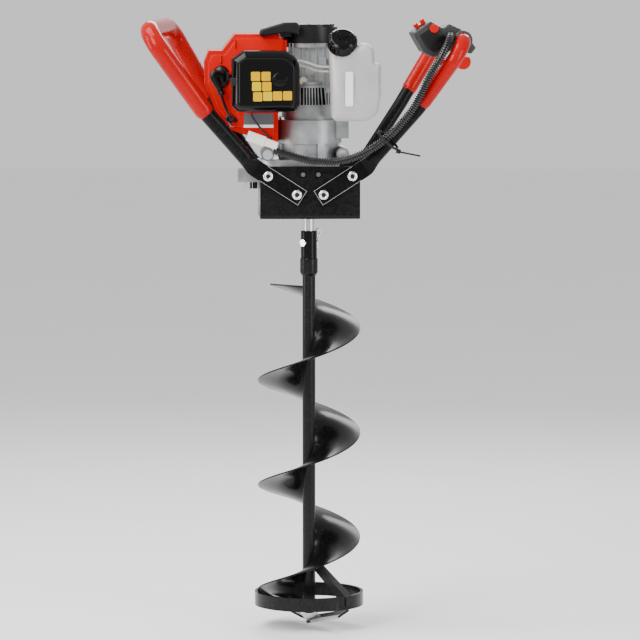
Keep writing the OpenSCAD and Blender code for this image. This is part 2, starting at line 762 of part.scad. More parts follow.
// One pressed end: a flat strip on the frame and the stretch that turns it into a round tube
module pressed_end(side, r, foot, knee) {
    back = side > 0 ? 0 : -strip_t;
    y = side * strip_y;
    reach = 86;
    flare = 0.2;
    difference() {
        translate([bolt_places[0][0], y + back, bolt_places[0][1]]) rotate([0, -strip_angle, 0])
            translate([-12, 0, -strip_w / 2]) cube([12 + reach, strip_t, strip_w]);
        for (p = bolt_places) translate([p[0], y - 20, p[1]]) rotate([-90, 0, 0])
            cylinder(r = bolt_r + running, h = 40);
    }
    hull() {
        translate([bolt_places[0][0], y + back, bolt_places[0][1]]) rotate([0, -strip_angle, 0])
            translate([reach - 1, -flare, -strip_w / 2 - flare])
            cube([9, strip_t + 2 * flare, strip_w + 2 * flare]);
        place(foot + unit(knee - foot) * flat_run, knee - foot) cylinder(r = r + 0.4, h = 1, $fn = 32);
    }
}

module loop_tube(path, r) {
    front_start = leg_foot + unit(leg_knee - leg_foot) * (flat_run - 1);
    rear_start = leg_foot_rear + unit(leg_knee_rear - leg_foot_rear) * (flat_run - 1);
    bent_bar([front_start, path[1], path[2], path[3], path[4], rear_start], loop_bends, r);
    pressed_end(-1, r, leg_foot, leg_knee);
    pressed_end(1, r, leg_foot_rear, leg_knee_rear);
}

// Dipped skin over a loop's upper part, along a path with its bends
module loop_grip(path, bends, r_in, r_out) {
    last = len(path) - 1;
    longer = [for (i = [0:last]) i == 0 ? path[0] - 2 * unit(path[1] - path[0])
              : i == last ? path[last] - 2 * unit(path[last - 1] - path[last]) : path[i]];
    difference() {
        bent_bar(path, bends, r_out);
        bent_bar(longer, bends, r_in);
    }
}

left_grip_path = [at_height(leg_foot, leg_knee, left_grip_z[0]), leg_knee, left_bar_front, left_bar_rear,
                  at_height(leg_knee_rear, left_bar_rear, left_grip_z[1])];
right_grip_path = [at_height(leg_knee, right_bar_front, right_grip_z[0]), right_bar_front, right_bar_rear,
                   at_height(leg_knee_rear, right_bar_rear, right_grip_z[1])];

module left_loop() {
    color([0.05, 0.05, 0.05]) mirror([1, 0, 0]) loop_tube(left_path, left_tube_r);
}

module right_loop() {
    color([0.05, 0.05, 0.05]) loop_tube(right_path, right_tube_r);
}

module left_grip() {
    color([0.8, 0.05, 0.06]) mirror([1, 0, 0])
        loop_grip(left_grip_path, [knee_bend, corner_bend, corner_bend], left_tube_r + running,
                  left_tube_r + left_grip_t);
}

module right_grip() {
    color([0.8, 0.05, 0.06])
        loop_grip(right_grip_path, [corner_bend, corner_bend], right_tube_r + running,
                  right_tube_r + right_grip_t);
}

// Round-headed bolts through each strip and the frame, with a nut inside
module loop_bolts() {
    color([0.8, 0.81, 0.82]) for (side = [-1, 1], face = [-1, 1]) for (p = bolt_places)
        translate([side * p[0], face * strip_y, p[1]]) rotate([face * -90, 0, 0]) {
            translate([0, 0, strip_t]) cylinder(r = 9.5, h = 5);
            translate([0, 0, -12]) cylinder(r = bolt_r, h = 12 + strip_t);
            translate([0, 0, -frame_t - 6]) cylinder(r = 7, h = 6, $fn = 6);
        }
}

/* Throttle */

module at_housing() {
    place(housing_mid, bar_way) children();
}

module housing_face(scale_by) {
    scale(scale_by) polygon([for (p = housing_outline) [-p[0], p[1]]]);
}

module housing_half_shell(from, to, wall_from, wall_to) {
    bore_r = right_tube_r + right_grip_t + running;
    color([0.16, 0.16, 0.17]) at_housing() difference() {
        translate([0, 0, from]) linear_extrude(to - from) housing_face(1);
        difference() {
            translate([12, 1, wall_from]) linear_extrude(wall_to - wall_from) translate([-12, -1]) translate([3, 0])
                housing_face(0.86);
            translate([0, 0, from - 1]) cylinder(r = bore_r + 3, h = to - from + 2);
        }
        translate([0, 0, from - 1]) cylinder(r = bore_r, h = to - from + 2);
        translate([-6, -60, -8.5]) cube([60, 48, 17]);
        translate([53, 22, -40]) cylinder(r = 8 + running, h = 25);
        translate([75, 24, 0]) rotate(switch_lean) translate([-14, -8, -3.5]) cube([28, 16, 7]);
    }
}

module throttle_housing_front() {
    housing_half_shell(-housing_half, 0, -housing_half + 3, 0.01);
}

module throttle_housing_rear() {
    housing_half_shell(0, housing_half, -0.01, housing_half - 3);
}

module throttle_trigger() {
    color([0.85, 0.06, 0.05]) at_housing() difference() {
        union() {
            translate([-trigger_pivot[0], trigger_pivot[1], -7]) cylinder(r = 6, h = 14);
            translate([-4, -46, -6]) cube([46, 10, 12]);
            translate([30, -42, -6]) cube([14, 25, 12]);
            translate([-6, -40, -6]) cylinder(r = 14, h = 12);
        }
        translate([-trigger_pivot[0], trigger_pivot[1], -10]) cylinder(r = 2.5, h = 20);
        translate([-40, -31, -10]) cube([66, 30, 20]);
    }
}

module lock_button() {
    color([0.85, 0.06, 0.05]) at_housing() translate([53, 22, -34]) cylinder(r = 8, h = 14);
}

module stop_switch() {
    color([0.85, 0.06, 0.05]) at_housing() translate([75, 24, 0]) rotate(switch_lean) {
        translate([-13, 0.4, -7]) cube([20, 3, 14]);
        for (x = [-11, 1]) translate([x, 3.4, -6]) cube([5, 4, 12]);
        translate([-9, -6, -3]) cube([12, 6.4, 6]);
    }
}

/* Wiring */

module conduit() {
    color([0.06, 0.06, 0.06]) cord(smooth(conduit_route, 2), 7.5, 12);
}

module wire_connector() {
    color([0.92, 0.92, 0.9]) translate([-87, -97, 904]) rotate([0, 20, 0]) union() {
        translate([-30, -7, -9]) cube([34, 14, 18]);
        translate([4, -6, -7]) cube([24, 12, 14]);
    }
}

module stop_wire() {
    color([0.05, 0.05, 0.05]) cord(smooth(wire_route, 2), 2, 8);
}

tie_centre = [139, -99, 903];

module cable_tie() {
    way = leg_knee - leg_foot;
    color([0.05, 0.05, 0.05]) {
        place(tie_centre, way) difference() {
            cylinder(r = 24.3, h = 4.5);
            translate([0, 0, -1]) cylinder(r = 22.8, h = 7);
        }
        translate([155, -103, 882]) rotate([0, 15, 0]) cube([8, 6, 8]);
        rod([160, -100, 884], [200, -100, 876], 1.6);
    }
}

/* Bit */

pin_z = 711;
pin_turn = 227;

module cross_pin_hole(r) {
    translate([0, 0, pin_z]) rotate(pin_turn) rotate([0, 90, 0]) translate([0, 0, -30]) cylinder(r = r, h = 60);
}

module bit_coupling() {
    color([0.06, 0.06, 0.06]) difference() {
        rotate_extrude() polygon([[0, 649], [12.5, 649], [16.5, 656], [16.5, 680], [15, 683],
                                  [15, coupling_top - 1], [14, coupling_top], [0, coupling_top]]);
        translate([0, 0, 690]) cylinder(r = shaft_r + running, h = 60);
        translate([0, 0, 640]) cylinder(r = tube_r, h = 40);
        cross_pin_hole(4);
    }
}

module clevis_pin() {
    color([0.82, 0.83, 0.84]) translate([0, 0, pin_z]) rotate(pin_turn) rotate([0, 90, 0]) difference() {
        union() {
            translate([0, 0, -22]) cylinder(r = 4, h = 37);
            translate([0, 0, 15]) cylinder(r = 6.5, h = 3);
        }
        translate([-10, 0, -19]) rotate([0, 90, 0]) cylinder(r = 1.3, h = 20);
    }
}

module r_clip() {
    color([0.8, 0.81, 0.82]) translate([0, 0, pin_z]) rotate(pin_turn + 180) translate([19, 0, 0]) {
        translate([0, 0, -18]) cylinder(r = 1.2, h = 36);
        translate([6.5, 0, 18]) rotate([90, 0, 0]) rotate_extrude() translate([6, 0]) circle(1.3, $fn = 16);
        rod([11.8, 0, 14.5], [4.9, 0, 1], 1.2);
        translate([4.9, 0, 1]) sphere(1.35);
        rod([4.9, 0, 1], [5.5, 0, -18], 1.2);
    }
}

module drill_tube() {
    color([0.06, 0.06, 0.06]) translate([0, 0, 34]) pipe(646, tube_r, 9);
}

flight_top_turn = 138;
flight_mid_turn = -404;
flight_end_turn = -945;

function flight_z(turn) = 553.5 + flight_pitch * turn / 360;

module flight(from, to) {
    steps = ceil((to - from) / 8);
    points = [for (i = [0:steps]) let (a = from + (to - from) * i / steps, z = flight_z(a))
              for (corner = [[tube_r + 0.1, 1], [flight_r, 1], [flight_r, -1], [tube_r + 0.1, -1]])
              [corner[0] * cos(a), corner[0] * sin(a), z + corner[1] * flight_t / 2]];
    color([0.07, 0.07, 0.07]) skin(points, 4);
}

module flight_upper() {
    flight(flight_mid_turn, flight_top_turn);
}

module flight_lower() {
    flight(flight_end_turn, flight_mid_turn - 0.3);
}

// Where the flat brace and the first blade stand about the axis, and the blades' rake and fall to the centre
brace_turn = -45;
blade_turn = -50;
blade_rake = 20;
blade_drop = 13;

module cutter_ring() {
    color([0.06, 0.06, 0.06]) {
        rotate_extrude() translate([96, ring_z]) square([5, 25]);
        rotate(brace_turn) hull() {
            translate([tube_r + 0.2, -8, 110]) cube([2, 16, 12]);
            translate([95.5, -9, 44]) cube([7, 18, 16]);
        }
    }
}

// Two sloping cutter plates under the ring and the pointed blade between them
module cutter_blades() {
    color([0.75, 0.76, 0.77]) {
        for (turn = [blade_turn, blade_turn + 180]) rotate(turn) translate([95, 0, 29])
            rotate([blade_rake, -blade_drop, 0]) difference() {
                translate([-91, -14, -2]) cube([91, 30, 4]);
                for (x = [-64, -34]) translate([x, 4, -5]) cylinder(r = 3, h = 10);
            }
        translate([0, 0, 20]) cylinder(r = 8.9, h = 50);
        translate([0, 3, 0]) rotate([90, 0, 0]) linear_extrude(6)
            polygon([[0, 0], [18, 22], [18, 33], [-18, 33], [-18, 22]]);
    }
}

frame_bracket();
gear_case();
gear_case_cover();
oil_seal();
bearings();
output_gear();
output_shaft();
intermediate_gear();
input_pinion();
clutch_drum();
clutch_shoes();
clutch_housing();
case_bolts();
fan_housing();
flywheel();
crankshaft();
crankcase();
cylinder_node();  // cylinder
piston();
spark_plug();
plug_boot();
plug_lead();
ignition_coil();
engine_shroud();
carburettor();
choke_lever();
filter_base();
filter_element();
filter_cover();
filter_knob();
muffler();
fuel_tank();
fuel_cap();
cap_gasket();
fuel_hoses();
recoil_housing();
starter_reel();
pull_handle();
left_loop();
right_loop();
left_grip();
right_grip();
loop_bolts();
throttle_housing_front();
throttle_housing_rear();
throttle_trigger();
lock_button();
stop_switch();
conduit();
wire_connector();
stop_wire();
cable_tie();
bit_coupling();
clevis_pin();
r_clip();
drill_tube();
flight_upper();
flight_lower();
cutter_ring();
cutter_blades();
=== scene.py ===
"""Looks of the ice auger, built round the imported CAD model. Lengths are in metres."""
from math import acos, cos, pi, radians, sin, tan

import bpy
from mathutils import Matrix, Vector


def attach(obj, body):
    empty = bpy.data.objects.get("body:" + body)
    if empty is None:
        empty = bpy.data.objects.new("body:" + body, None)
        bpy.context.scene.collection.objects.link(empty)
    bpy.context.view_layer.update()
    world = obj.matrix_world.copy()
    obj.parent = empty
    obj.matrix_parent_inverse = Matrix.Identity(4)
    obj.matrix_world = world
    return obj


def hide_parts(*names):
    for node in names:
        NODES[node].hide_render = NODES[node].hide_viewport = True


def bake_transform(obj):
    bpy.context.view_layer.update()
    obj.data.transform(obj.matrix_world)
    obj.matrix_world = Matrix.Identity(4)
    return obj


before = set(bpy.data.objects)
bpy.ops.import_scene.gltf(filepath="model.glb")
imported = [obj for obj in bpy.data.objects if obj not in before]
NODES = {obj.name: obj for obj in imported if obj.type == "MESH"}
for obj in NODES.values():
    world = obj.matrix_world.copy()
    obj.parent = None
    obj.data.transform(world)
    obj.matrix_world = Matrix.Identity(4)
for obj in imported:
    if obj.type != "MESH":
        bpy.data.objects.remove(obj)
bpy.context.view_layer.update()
MM = 0.001

COAT_ROUGHNESS = 0.08
NOISE_ROUGHNESS = 0.55
WEAR_FROM, WEAR_TO = 0.56, 0.66
WEAR_GRIT = 0.12
WELD_DISTANCE = 0.00002
SHARP_ANGLE = 35
LEAST_BEND = 0.15


# ---------------------------------------------------------------- materials

def new_material(name, colour, roughness, metallic=0.0, coat=0.0, **sockets):
    """A material and its shader. Other sockets are named with underscores for spaces."""
    material = bpy.data.materials.new(name)
    material.use_nodes = True
    shader = material.node_tree.nodes["Principled BSDF"]
    shader.inputs["Base Color"].default_value = (*colour, 1)
    shader.inputs["Roughness"].default_value = roughness
    shader.inputs["Metallic"].default_value = metallic
    shader.inputs["Coat Weight"].default_value = coat
    shader.inputs["Coat Roughness"].default_value = COAT_ROUGHNESS
    for socket, value in sockets.items():
        shader.inputs[socket.replace("_", " ")].default_value = value
    return material, shader


def add(material, kind, **settings):
    """Adds a shader node. A setting is an input where the node has one of that name."""
    node = material.node_tree.nodes.new(kind)
    for key, value in settings.items():
        if key in node.inputs:
            node.inputs[key].default_value = value
        else:
            setattr(node, key, value)
    return node


def coordinates(material, stretch):
    """Object coordinates, stretched on each axis."""
    where = add(material, "ShaderNodeTexCoord")
    scale = add(material, "ShaderNodeMapping")
    scale.inputs["Scale"].default_value = stretch
    material.node_tree.links.new(where.outputs["Object"], scale.inputs["Vector"])
    return scale.outputs["Vector"]


def noise(material, scale, detail, stretch=(1, 1, 1)):
    """A noise value over the object."""
    node = add(material, "ShaderNodeTexNoise", Scale=scale, Detail=detail, Roughness=NOISE_ROUGHNESS)
    material.node_tree.links.new(coordinates(material, stretch), node.inputs["Vector"])
    return node.outputs["Fac"]


def ramp(material, value, *stops):
    """A colour ramp from (place, (r, g, b)) stops."""
    node = add(material, "ShaderNodeValToRGB")
    elements = node.color_ramp.elements
    while len(elements) < len(stops):
        elements.new(0.5)
    for element, (place, colour) in zip(elements, stops):
        element.position = place
        element.color = (*colour, 1)
    material.node_tree.links.new(value, node.inputs["Fac"])
    return node.outputs["Color"]


def span(material, value, low, high):
    """A value from 0 to 1 mapped to low and high."""
    node = add(material, "ShaderNodeMapRange")
    node.inputs["To Min"].default_value = low
    node.inputs["To Max"].default_value = high
    material.node_tree.links.new(value, node.inputs["Value"])
    return node.outputs["Result"]


def bump(material, shader, value, strength, distance):
    """Adds a bump on top of any bump the shader has already."""
    node = add(material, "ShaderNodeBump", Strength=strength, Distance=distance)
    links = material.node_tree.links
    links.new(value, node.inputs["Height"])
    if shader.inputs["Normal"].is_linked:
        links.new(shader.inputs["Normal"].links[0].from_socket, node.inputs["Normal"])
    links.new(node.outputs["Normal"], shader.inputs["Normal"])


def worn_edges(material, colour, wear):
    """Mixes a lighter worn colour in where the surface turns sharply outwards."""
    geometry = add(material, "ShaderNodeNewGeometry")
    grit = noise(material, 180, 6)
    edge = add(material, "ShaderNodeMath", operation="MULTIPLY_ADD")
    links = material.node_tree.links
    links.new(grit, edge.inputs[0])
    edge.inputs[1].default_value = WEAR_GRIT
    links.new(geometry.outputs["Pointiness"], edge.inputs[2])
    return ramp(material, edge.outputs[0], (WEAR_FROM, colour), (WEAR_TO, wear))


def painted(name, colour, wear, roughness, grain=900, grain_height=0.00002, level=0.3):
    """Paint with worn edges and a fine grain."""
    material, shader = new_material(name, colour, roughness, Specular_IOR_Level=level)
    links = material.node_tree.links
    links.new(worn_edges(material, colour, wear), shader.inputs["Base Color"])
    links.new(span(material, noise(material, 14, 5), roughness * 0.8, roughness * 1.3),
              shader.inputs["Roughness"])
    bump(material, shader, noise(material, grain, 2), 0.35, grain_height)
    return material


def cast_metal(name, light, dark, roughness):
    """Rough cast metal in two tones."""
    material, shader = new_material(name, light, roughness, metallic=0.85)
    links = material.node_tree.links
    links.new(ramp(material, noise(material, 30, 6), (0.3, dark), (0.7, light)),
              shader.inputs["Base Color"])
    links.new(span(material, noise(material, 60, 4), roughness * 0.8, roughness * 1.25),
              shader.inputs["Roughness"])
    bump(material, shader, noise(material, 700, 4), 0.5, 0.00012)
    bump(material, shader, noise(material, 2400, 2), 0.3, 0.00004)
    return material


def machined(name, colour, roughness, stretch=(1, 1, 30)):
    """Bare metal with fine tool marks drawn out along an axis."""
    material, shader = new_material(name, colour, roughness, metallic=1.0)
    links = material.node_tree.links
    links.new(span(material, noise(material, 90, 3, stretch), roughness * 0.7, roughness * 1.4),
              shader.inputs["Roughness"])
    bump(material, shader, noise(material, 260, 3, stretch), 0.25, 0.00003)
    return material


def moulded(name, colour, roughness, coat=0.0, grain=1600, grain_height=0.00003, **sockets):
    """Plastic or rubber with a moulded grain."""
    material, shader = new_material(name, colour, roughness, coat=coat, **sockets)
    links = material.node_tree.links
    darker = tuple(c * 0.8 for c in colour)
    links.new(ramp(material, noise(material, 8, 3), (0.35, darker), (0.65, colour)),
              shader.inputs["Base Color"])
    links.new(span(material, noise(material, 25, 4), roughness * 0.85, roughness * 1.25),
              shader.inputs["Roughness"])
    bump(material, shader, noise(material, grain, 2), 0.3, grain_height)
    return material


MAT = {
    "frame_black": painted("frame_black", (0.004, 0.004, 0.0045), (0.02, 0.02, 0.02), 0.2, level=0.07),
    "bit_black": painted("bit_black", (0.003, 0.003, 0.0033), (0.02, 0.02, 0.02), 0.2, 700, level=0.14),
    # painted highlight: lighter grey with still lighter worn edges, for the strip borders that stand in for
    # light caught on rounded edges
    "edge_shine": painted("edge_shine", (0.2, 0.2, 0.21), (0.4, 0.4, 0.4), 0.3),
    "cast": cast_metal("cast", (0.44, 0.45, 0.46), (0.24, 0.245, 0.25), 0.42),
    "steel": machined("steel", (0.62, 0.62, 0.63), 0.28),
    "dull_steel": machined("dull_steel", (0.16, 0.16, 0.17), 0.4),
    "zinc": machined("zinc", (0.80, 0.81, 0.83), 0.22, (1, 1, 1)),
    "blade": machined("blade", (0.70, 0.71, 0.72), 0.3, (20, 1, 1)),
    "red_shroud": moulded("red_shroud", (0.56, 0.0, 0.0), 0.2, 0.0, 500, 0.000008,
                          Specular_IOR_Level=0.1),
    "red_grip": moulded("red_grip", (0.40, 0.0, 0.0), 0.14, 0.0, 300, 0.000004,
                        Specular_IOR_Level=0.16),
    "red_plastic": moulded("red_plastic", (0.62, 0.0, 0.0), 0.3, 0.0, Specular_IOR_Level=0.15),
    "gloss_black": moulded("gloss_black", (0.002, 0.002, 0.0023), 0.09, 0.0, 350, 0.000006,
                           Specular_IOR_Level=0.16),
    "satin_black": moulded("satin_black", (0.007, 0.007, 0.0075), 0.34, 0.0, Specular_IOR_Level=0.25),
    "matt_black": moulded("matt_black", (0.012, 0.012, 0.013), 0.5, 0.0, 1200, 0.00006,
                          Specular_IOR_Level=0.2),
    "housing_grey": moulded("housing_grey", (0.035, 0.035, 0.037), 0.45, 0.0, 1200, 0.00005,
                            Specular_IOR_Level=0.3),
    # painted shade: near black and matt, for sheets and discs set where hollows lie in shade
    "recess": moulded("recess", (0.002, 0.002, 0.002), 0.8, Specular_IOR_Level=0.05),
    "rubber": moulded("rubber", (0.004, 0.004, 0.0045), 0.3, 0.0, 800, 0.00002,
                      Specular_IOR_Level=0.25),
    "sleeve": moulded("sleeve", (0.006, 0.006, 0.0065), 0.22, 0.0, 900, 0.00001,
                      Specular_IOR_Level=0.6),
    "tank": moulded("tank", (0.50, 0.505, 0.495), 0.32, 0.0, 900, 0.00004, Subsurface_Weight=0.6,
                    Subsurface_Scale=0.02, Transmission_Weight=0.12),
    "white_nylon": moulded("white_nylon", (0.80, 0.80, 0.76), 0.42, 0.0, 900, 0.00003),
    "hose": moulded("hose", (0.80, 0.80, 0.72), 0.15, 0.2, 500, 0.00001, Transmission_Weight=0.45),
    "muffler": painted("muffler", (0.05, 0.05, 0.05), (0.2, 0.19, 0.18), 0.55),
    "cream": moulded("cream", (0.72, 0.68, 0.5), 0.4),
    "rope": moulded("rope", (0.02, 0.02, 0.021), 0.7, 0.0, 2200, 0.0002),
    "foam": moulded("foam", (0.10, 0.10, 0.09), 0.9, 0.0, 900, 0.0004),
    "tile_amber": moulded("tile_amber", (0.60, 0.33, 0.0), 0.5, 0.0, Specular_IOR_Level=0.05),
    "tile_yellow": moulded("tile_yellow", (0.58, 0.43, 0.0), 0.5, 0.0, Specular_IOR_Level=0.05),
    "sticker_grey": moulded("sticker_grey", (0.10, 0.10, 0.11), 0.4),
    "sticker_white": moulded("sticker_white", (0.88, 0.88, 0.88), 0.4),
}

SHOWN = {
    "frame_black": ["frame_bracket", "left_loop", "right_loop"],
    "cast": ["gear_case", "gear_case_cover", "clutch_housing", "fan_housing", "crankcase", "cylinder",
             "carburettor"],
    "steel": ["bearings", "output_gear", "output_shaft", "intermediate_gear", "input_pinion",
              "clutch_drum", "clutch_shoes", "flywheel", "crankshaft", "piston", "spark_plug"],
    "zinc": ["case_bolts", "loop_bolts", "clevis_pin", "r_clip"],
    "satin_black": ["filter_base", "choke_lever", "recoil_housing", "pull_handle", "ignition_coil"],
    "gloss_black": ["filter_cover", "filter_knob", "fuel_cap"],
    "matt_black": ["cable_tie"],
    "housing_grey": ["throttle_housing_front", "throttle_housing_rear"],
    "rubber": ["oil_seal", "plug_boot", "plug_lead", "cap_gasket", "conduit", "stop_wire"],
    "red_shroud": ["engine_shroud"],
    "red_grip": ["left_grip", "right_grip"],
    "red_plastic": ["throttle_trigger", "lock_button", "stop_switch"],
    "tank": ["fuel_tank"],
    "hose": ["fuel_hoses"],
    "white_nylon": ["wire_connector", "starter_reel"],
    "foam": ["filter_element"],
    "muffler": ["muffler"],
    "bit_black": ["bit_coupling", "drill_tube", "flight_upper", "flight_lower", "cutter_ring",
                  "cutter_blades"],
}


def soften(obj, width):
    """Rounds the sharp edges of a CAD node and shades the rest smooth."""
    weld = obj.modifiers.new("weld", "WELD")
    weld.merge_threshold = WELD_DISTANCE
    round_off = obj.modifiers.new("bevel", "BEVEL")
    round_off.width = width
    round_off.segments = 2
    round_off.limit_method = "ANGLE"
    round_off.angle_limit = radians(SHARP_ANGLE)
    round_off.use_clamp_overlap = True
    even = obj.modifiers.new("even", "WEIGHTED_NORMAL")
    even.mode = "FACE_AREA_WITH_ANGLE"
    even.weight = 80
    obj.data.shade_smooth()


for material_name, node_names in SHOWN.items():
    for node_name in node_names:
        node = NODES[node_name]
        node.data.materials.clear()
        node.data.materials.append(MAT[material_name])


# ---------------------------------------------------------------- mesh tools

def piece(name, vertices, faces, material, body, like, replaces=(), smooth=SHARP_ANGLE):
    """A mesh piece that rides on a body, if one is named. The node it is like, given as like, is not used.
    """
    mesh = bpy.data.meshes.new(name)
    mesh.from_pydata([tuple(v) for v in vertices], [], faces)
    mesh.update()
    obj = bpy.data.objects.new(name, mesh)
    bpy.context.scene.collection.objects.link(obj)
    mesh.materials.append(MAT[material])
    mesh.shade_smooth()
    if smooth:
        mesh.set_sharp_from_angle(angle=radians(smooth))
    if body:
        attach(obj, body)
    if replaces:
        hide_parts(*replaces)
    return obj


def loft(rings):
    """A closed body through rings of equal length."""
    n, count = len(rings[0]), len(rings)
    vertices = [v for ring in rings for v in ring]
    faces = []
    for i in range(count - 1):
        for k in range(n):
            m = (k + 1) % n
            faces.append((i * n + k, i * n + m, (i + 1) * n + m, (i + 1) * n + k))
    faces.append(tuple(reversed(range(n))))
    faces.append(tuple(range((count - 1) * n, count * n)))
    return vertices, faces


def mirrored(vertices, faces, mirror):
    """A body in mm brought to the frame, on the right for mirror 1 and on the left for -1."""
    vertices = [Vector((v.x * mirror, v.y, v.z)) * MM for v in vertices]
    return vertices, [tuple(reversed(f)) for f in faces] if mirror < 0 else faces


def frames(path, side):
    """A (point, across, up) for each point of a path, carried along without twist."""
    out = []
    across = Vector(side)
    for i, point in enumerate(path):
        ahead = Vector(path[min(i + 1, len(path) - 1)]) - Vector(path[max(i - 1, 0)])
        ahead.normalize()
        across = (across - ahead * across.dot(ahead)).normalized()
        out.append((Vector(point), across, ahead.cross(across)))
    return out


def tube_rings(path, radius, sides, side=(0, 1, 0)):
    """Round rings along a path. radius is a number or a function of the ring's index."""
    rings = []
    for i, (point, across, up) in enumerate(frames(path, side)):
        r = radius(i) if callable(radius) else radius
        rings.append([point + across * (r * cos(2 * pi * k / sides)) + up * (r * sin(2 * pi * k / sides))
                      for k in range(sides)])
    return rings


def tube(path, radius, sides, side=(0, 1, 0)):
    """A round bar along a path in mm."""
    return loft([[v * MM for v in ring] for ring in tube_rings(path, radius, sides, side)])


def smooth_path(points, steps):
    """A Catmull-Rom curve through points."""
    p = [Vector(q) for q in points]
    out = []
    for i in range(len(p) - 1):
        a, b, c, d = p[max(i - 1, 0)], p[i], p[i + 1], p[min(i + 2, len(p) - 1)]
        for k in range(steps):
            t = k / steps
            out.append(0.5 * (2 * b + (c - a) * t + (2 * a - 5 * b + 4 * c - d) * t * t
                              + (3 * b - a - 3 * c + d) * t ** 3))
    out.append(p[-1])
    return out


def spaced(path, step):
    """Points along a path, a fixed step apart."""
    out = [Vector(path[0])]
    left = step
    for a, b in zip(path, path[1:]):
        a, b = Vector(a), Vector(b)
        length = (b - a).length
        at = left
        while at <= length:
            out.append(a.lerp(b, at / length))
            at += step
        left = at - length
    return out


def arc(centre, start, end, steps):
    """Points round a centre, from the offset start to the offset end."""
    turn = start.angle(end)
    return [centre + (start * sin((1 - k / steps) * turn) + end * sin(k / steps * turn)) / sin(turn)
            for k in range(steps + 1)]


def filleted(points, bends, steps):
    """A path of straights and arcs; bends holds a radius for each inner point."""
    p = [Vector(q) for q in points]
    out = [p[0]]
    for i, bend in enumerate(bends, start=1):
        u = (p[i - 1] - p[i]).normalized()
        v = (p[i + 1] - p[i]).normalized()
        half = acos(max(-1, min(1, u.dot(v)))) / 2
        cut = bend / tan(half)
        centre = p[i] + (u + v).normalized() * bend / sin(half)
        out += arc(centre, p[i] + u * cut - centre, p[i] + v * cut - centre, steps)
    out.append(p[-1])
    return out


def rounded(corners, inset, steps):
    """A flat outline from (x, z, radius) corners, anticlockwise, moved inwards and rounded."""
    n = len(corners)
    spots = [Vector(c[:2]) for c in corners]
    ways = [(spots[(i + 1) % n] - spots[i]).normalized() for i in range(n)]
    moved = []
    for i in range(n):
        before, after = ways[i - 1], ways[i]
        bend = before.x * after.y - before.y * after.x
        middle = Vector((-before.y - after.y, before.x + after.x)).normalized()
        here = spots[i] + middle * (inset / max(0.3, middle.dot(Vector((-before.y, before.x)))))
        moved.append((here, max(LEAST_BEND, corners[i][2] + (-inset if bend > 0 else inset))))
    out = []
    for i, (here, r) in enumerate(moved):
        last, following = moved[i - 1][0], moved[(i + 1) % n][0]
        u = (last - here).normalized()
        v = (following - here).normalized()
        half = acos(max(-1, min(1, u.dot(v)))) / 2
        if half > pi / 2 - 0.01:
            out += [here] * (steps + 1)
            continue
        reach = 0.49 * min((last - here).length, (following - here).length)
        r = min(r, reach * tan(half))
        centre = here + (u + v).normalized() * r / sin(half)
        out += arc(centre, here + u * r / tan(half) - centre, here + v * r / tan(half) - centre, steps)
    return out


def rectangle(x_from, z_from, x_to, z_to, bend):
    """The corners of a rectangle for rounded(), all with one radius."""
    return [(x_from, z_from, bend), (x_to, z_from, bend), (x_to, z_to, bend), (x_from, z_to, bend)]


def upright(x, z, depth):
    """A point of an outline that faces the front."""
    return Vector((x, depth, z)) * MM


def slab(corners, levels, put=upright, steps=6):
    """A body through rings of one outline; levels are (depth, inset) from the back to the front."""
    return loft([[put(p.x, p.y, depth) for p in rounded(corners, by, steps)] for depth, by in levels])


def pillow(back, front, edge, steps=4, soft_back=True):
    """Levels for a slab with rounded edges between two depths, front being the lower number."""
    turns = [radians(90 * k / steps) for k in range(steps + 1)]
    levels = [(back, 0)]
    if soft_back:
        levels = [(back - edge * (1 - cos(a)), edge * (1 - sin(a))) for a in turns]
    return levels + [(front + edge * (1 - sin(a)), edge * (1 - cos(a))) for a in turns]


def lathe(profile, sides, place, radius_at=None):
    """A turned body from (radius, height) pairs; place maps (x, y, height) to the frame."""
    rings = []
    for r, h in profile:
        ring = []
        for k in range(sides):
            a = 2 * pi * k / sides
            rr = radius_at(r, h, a) if radius_at else r
            ring.append(place(rr * cos(a), rr * sin(a), h))
        rings.append(ring)
    return loft(rings)


def axis_place(base, way, side=(1, 0, 0)):
    """Maps (x, y, height) to the frame with height along way from base."""
    base, way = Vector(base), Vector(way).normalized()
    across = (Vector(side) - way * Vector(side).dot(way)).normalized()
    other = way.cross(across)
    return lambda x, y, h: (base + across * x + other * y + way * h) * MM


def joined(*parts):
    """One list of vertices and faces from several."""
    vertices, faces = [], []
    for part_vertices, part_faces in parts:
        start = len(vertices)
        vertices += part_vertices
        faces += [tuple(i + start for i in f) for f in part_faces]
    return vertices, faces


# ---------------------------------------------------------------- hand loops

LEG_FOOT = Vector((103, -78, 855))
LEG_KNEE = Vector((196, -105, 962))
LEG_KNEE_REAR = Vector((174, 105, 962))
LEG_FOOT_REAR = Vector((103, 78, 855))
STRIP_LEAN = radians(32.8)
LOWER_BOLT, UPPER_BOLT = (24.3, 804.5), (77, 838.5)
STRIP_WAY = Vector((cos(STRIP_LEAN), 0, sin(STRIP_LEAN)))
STRIP_W, STRIP_T = 32, 6
STRIP_LENGTH, FLARE_LENGTH = 98, 34
STRIP_SQUARENESS, TUBE_SQUARENESS = 9, 2
FOOT_BEND, KNEE_BEND, CORNER_BEND = 14, 160, 38
LEFT_BAR = (Vector((298, -140, 1105)), Vector((256, 140, 1105)))
RIGHT_BAR = (Vector((283, -140, 1086)), Vector((250, 140, 1086)))


def flat_ring(point, across, up, half_thick, half_wide, squareness, sides):
    """A ring between a circle (squareness 2) and a rounded oblong."""
    ring = []
    for k in range(sides):
        a = 2 * pi * k / sides
        c, s = cos(a), sin(a)
        x = half_thick * abs(c) ** (2 / squareness) * (1 if c >= 0 else -1)
        y = half_wide * abs(s) ** (2 / squareness) * (1 if s >= 0 else -1)
        ring.append(point + across * x + up * y)
    return ring


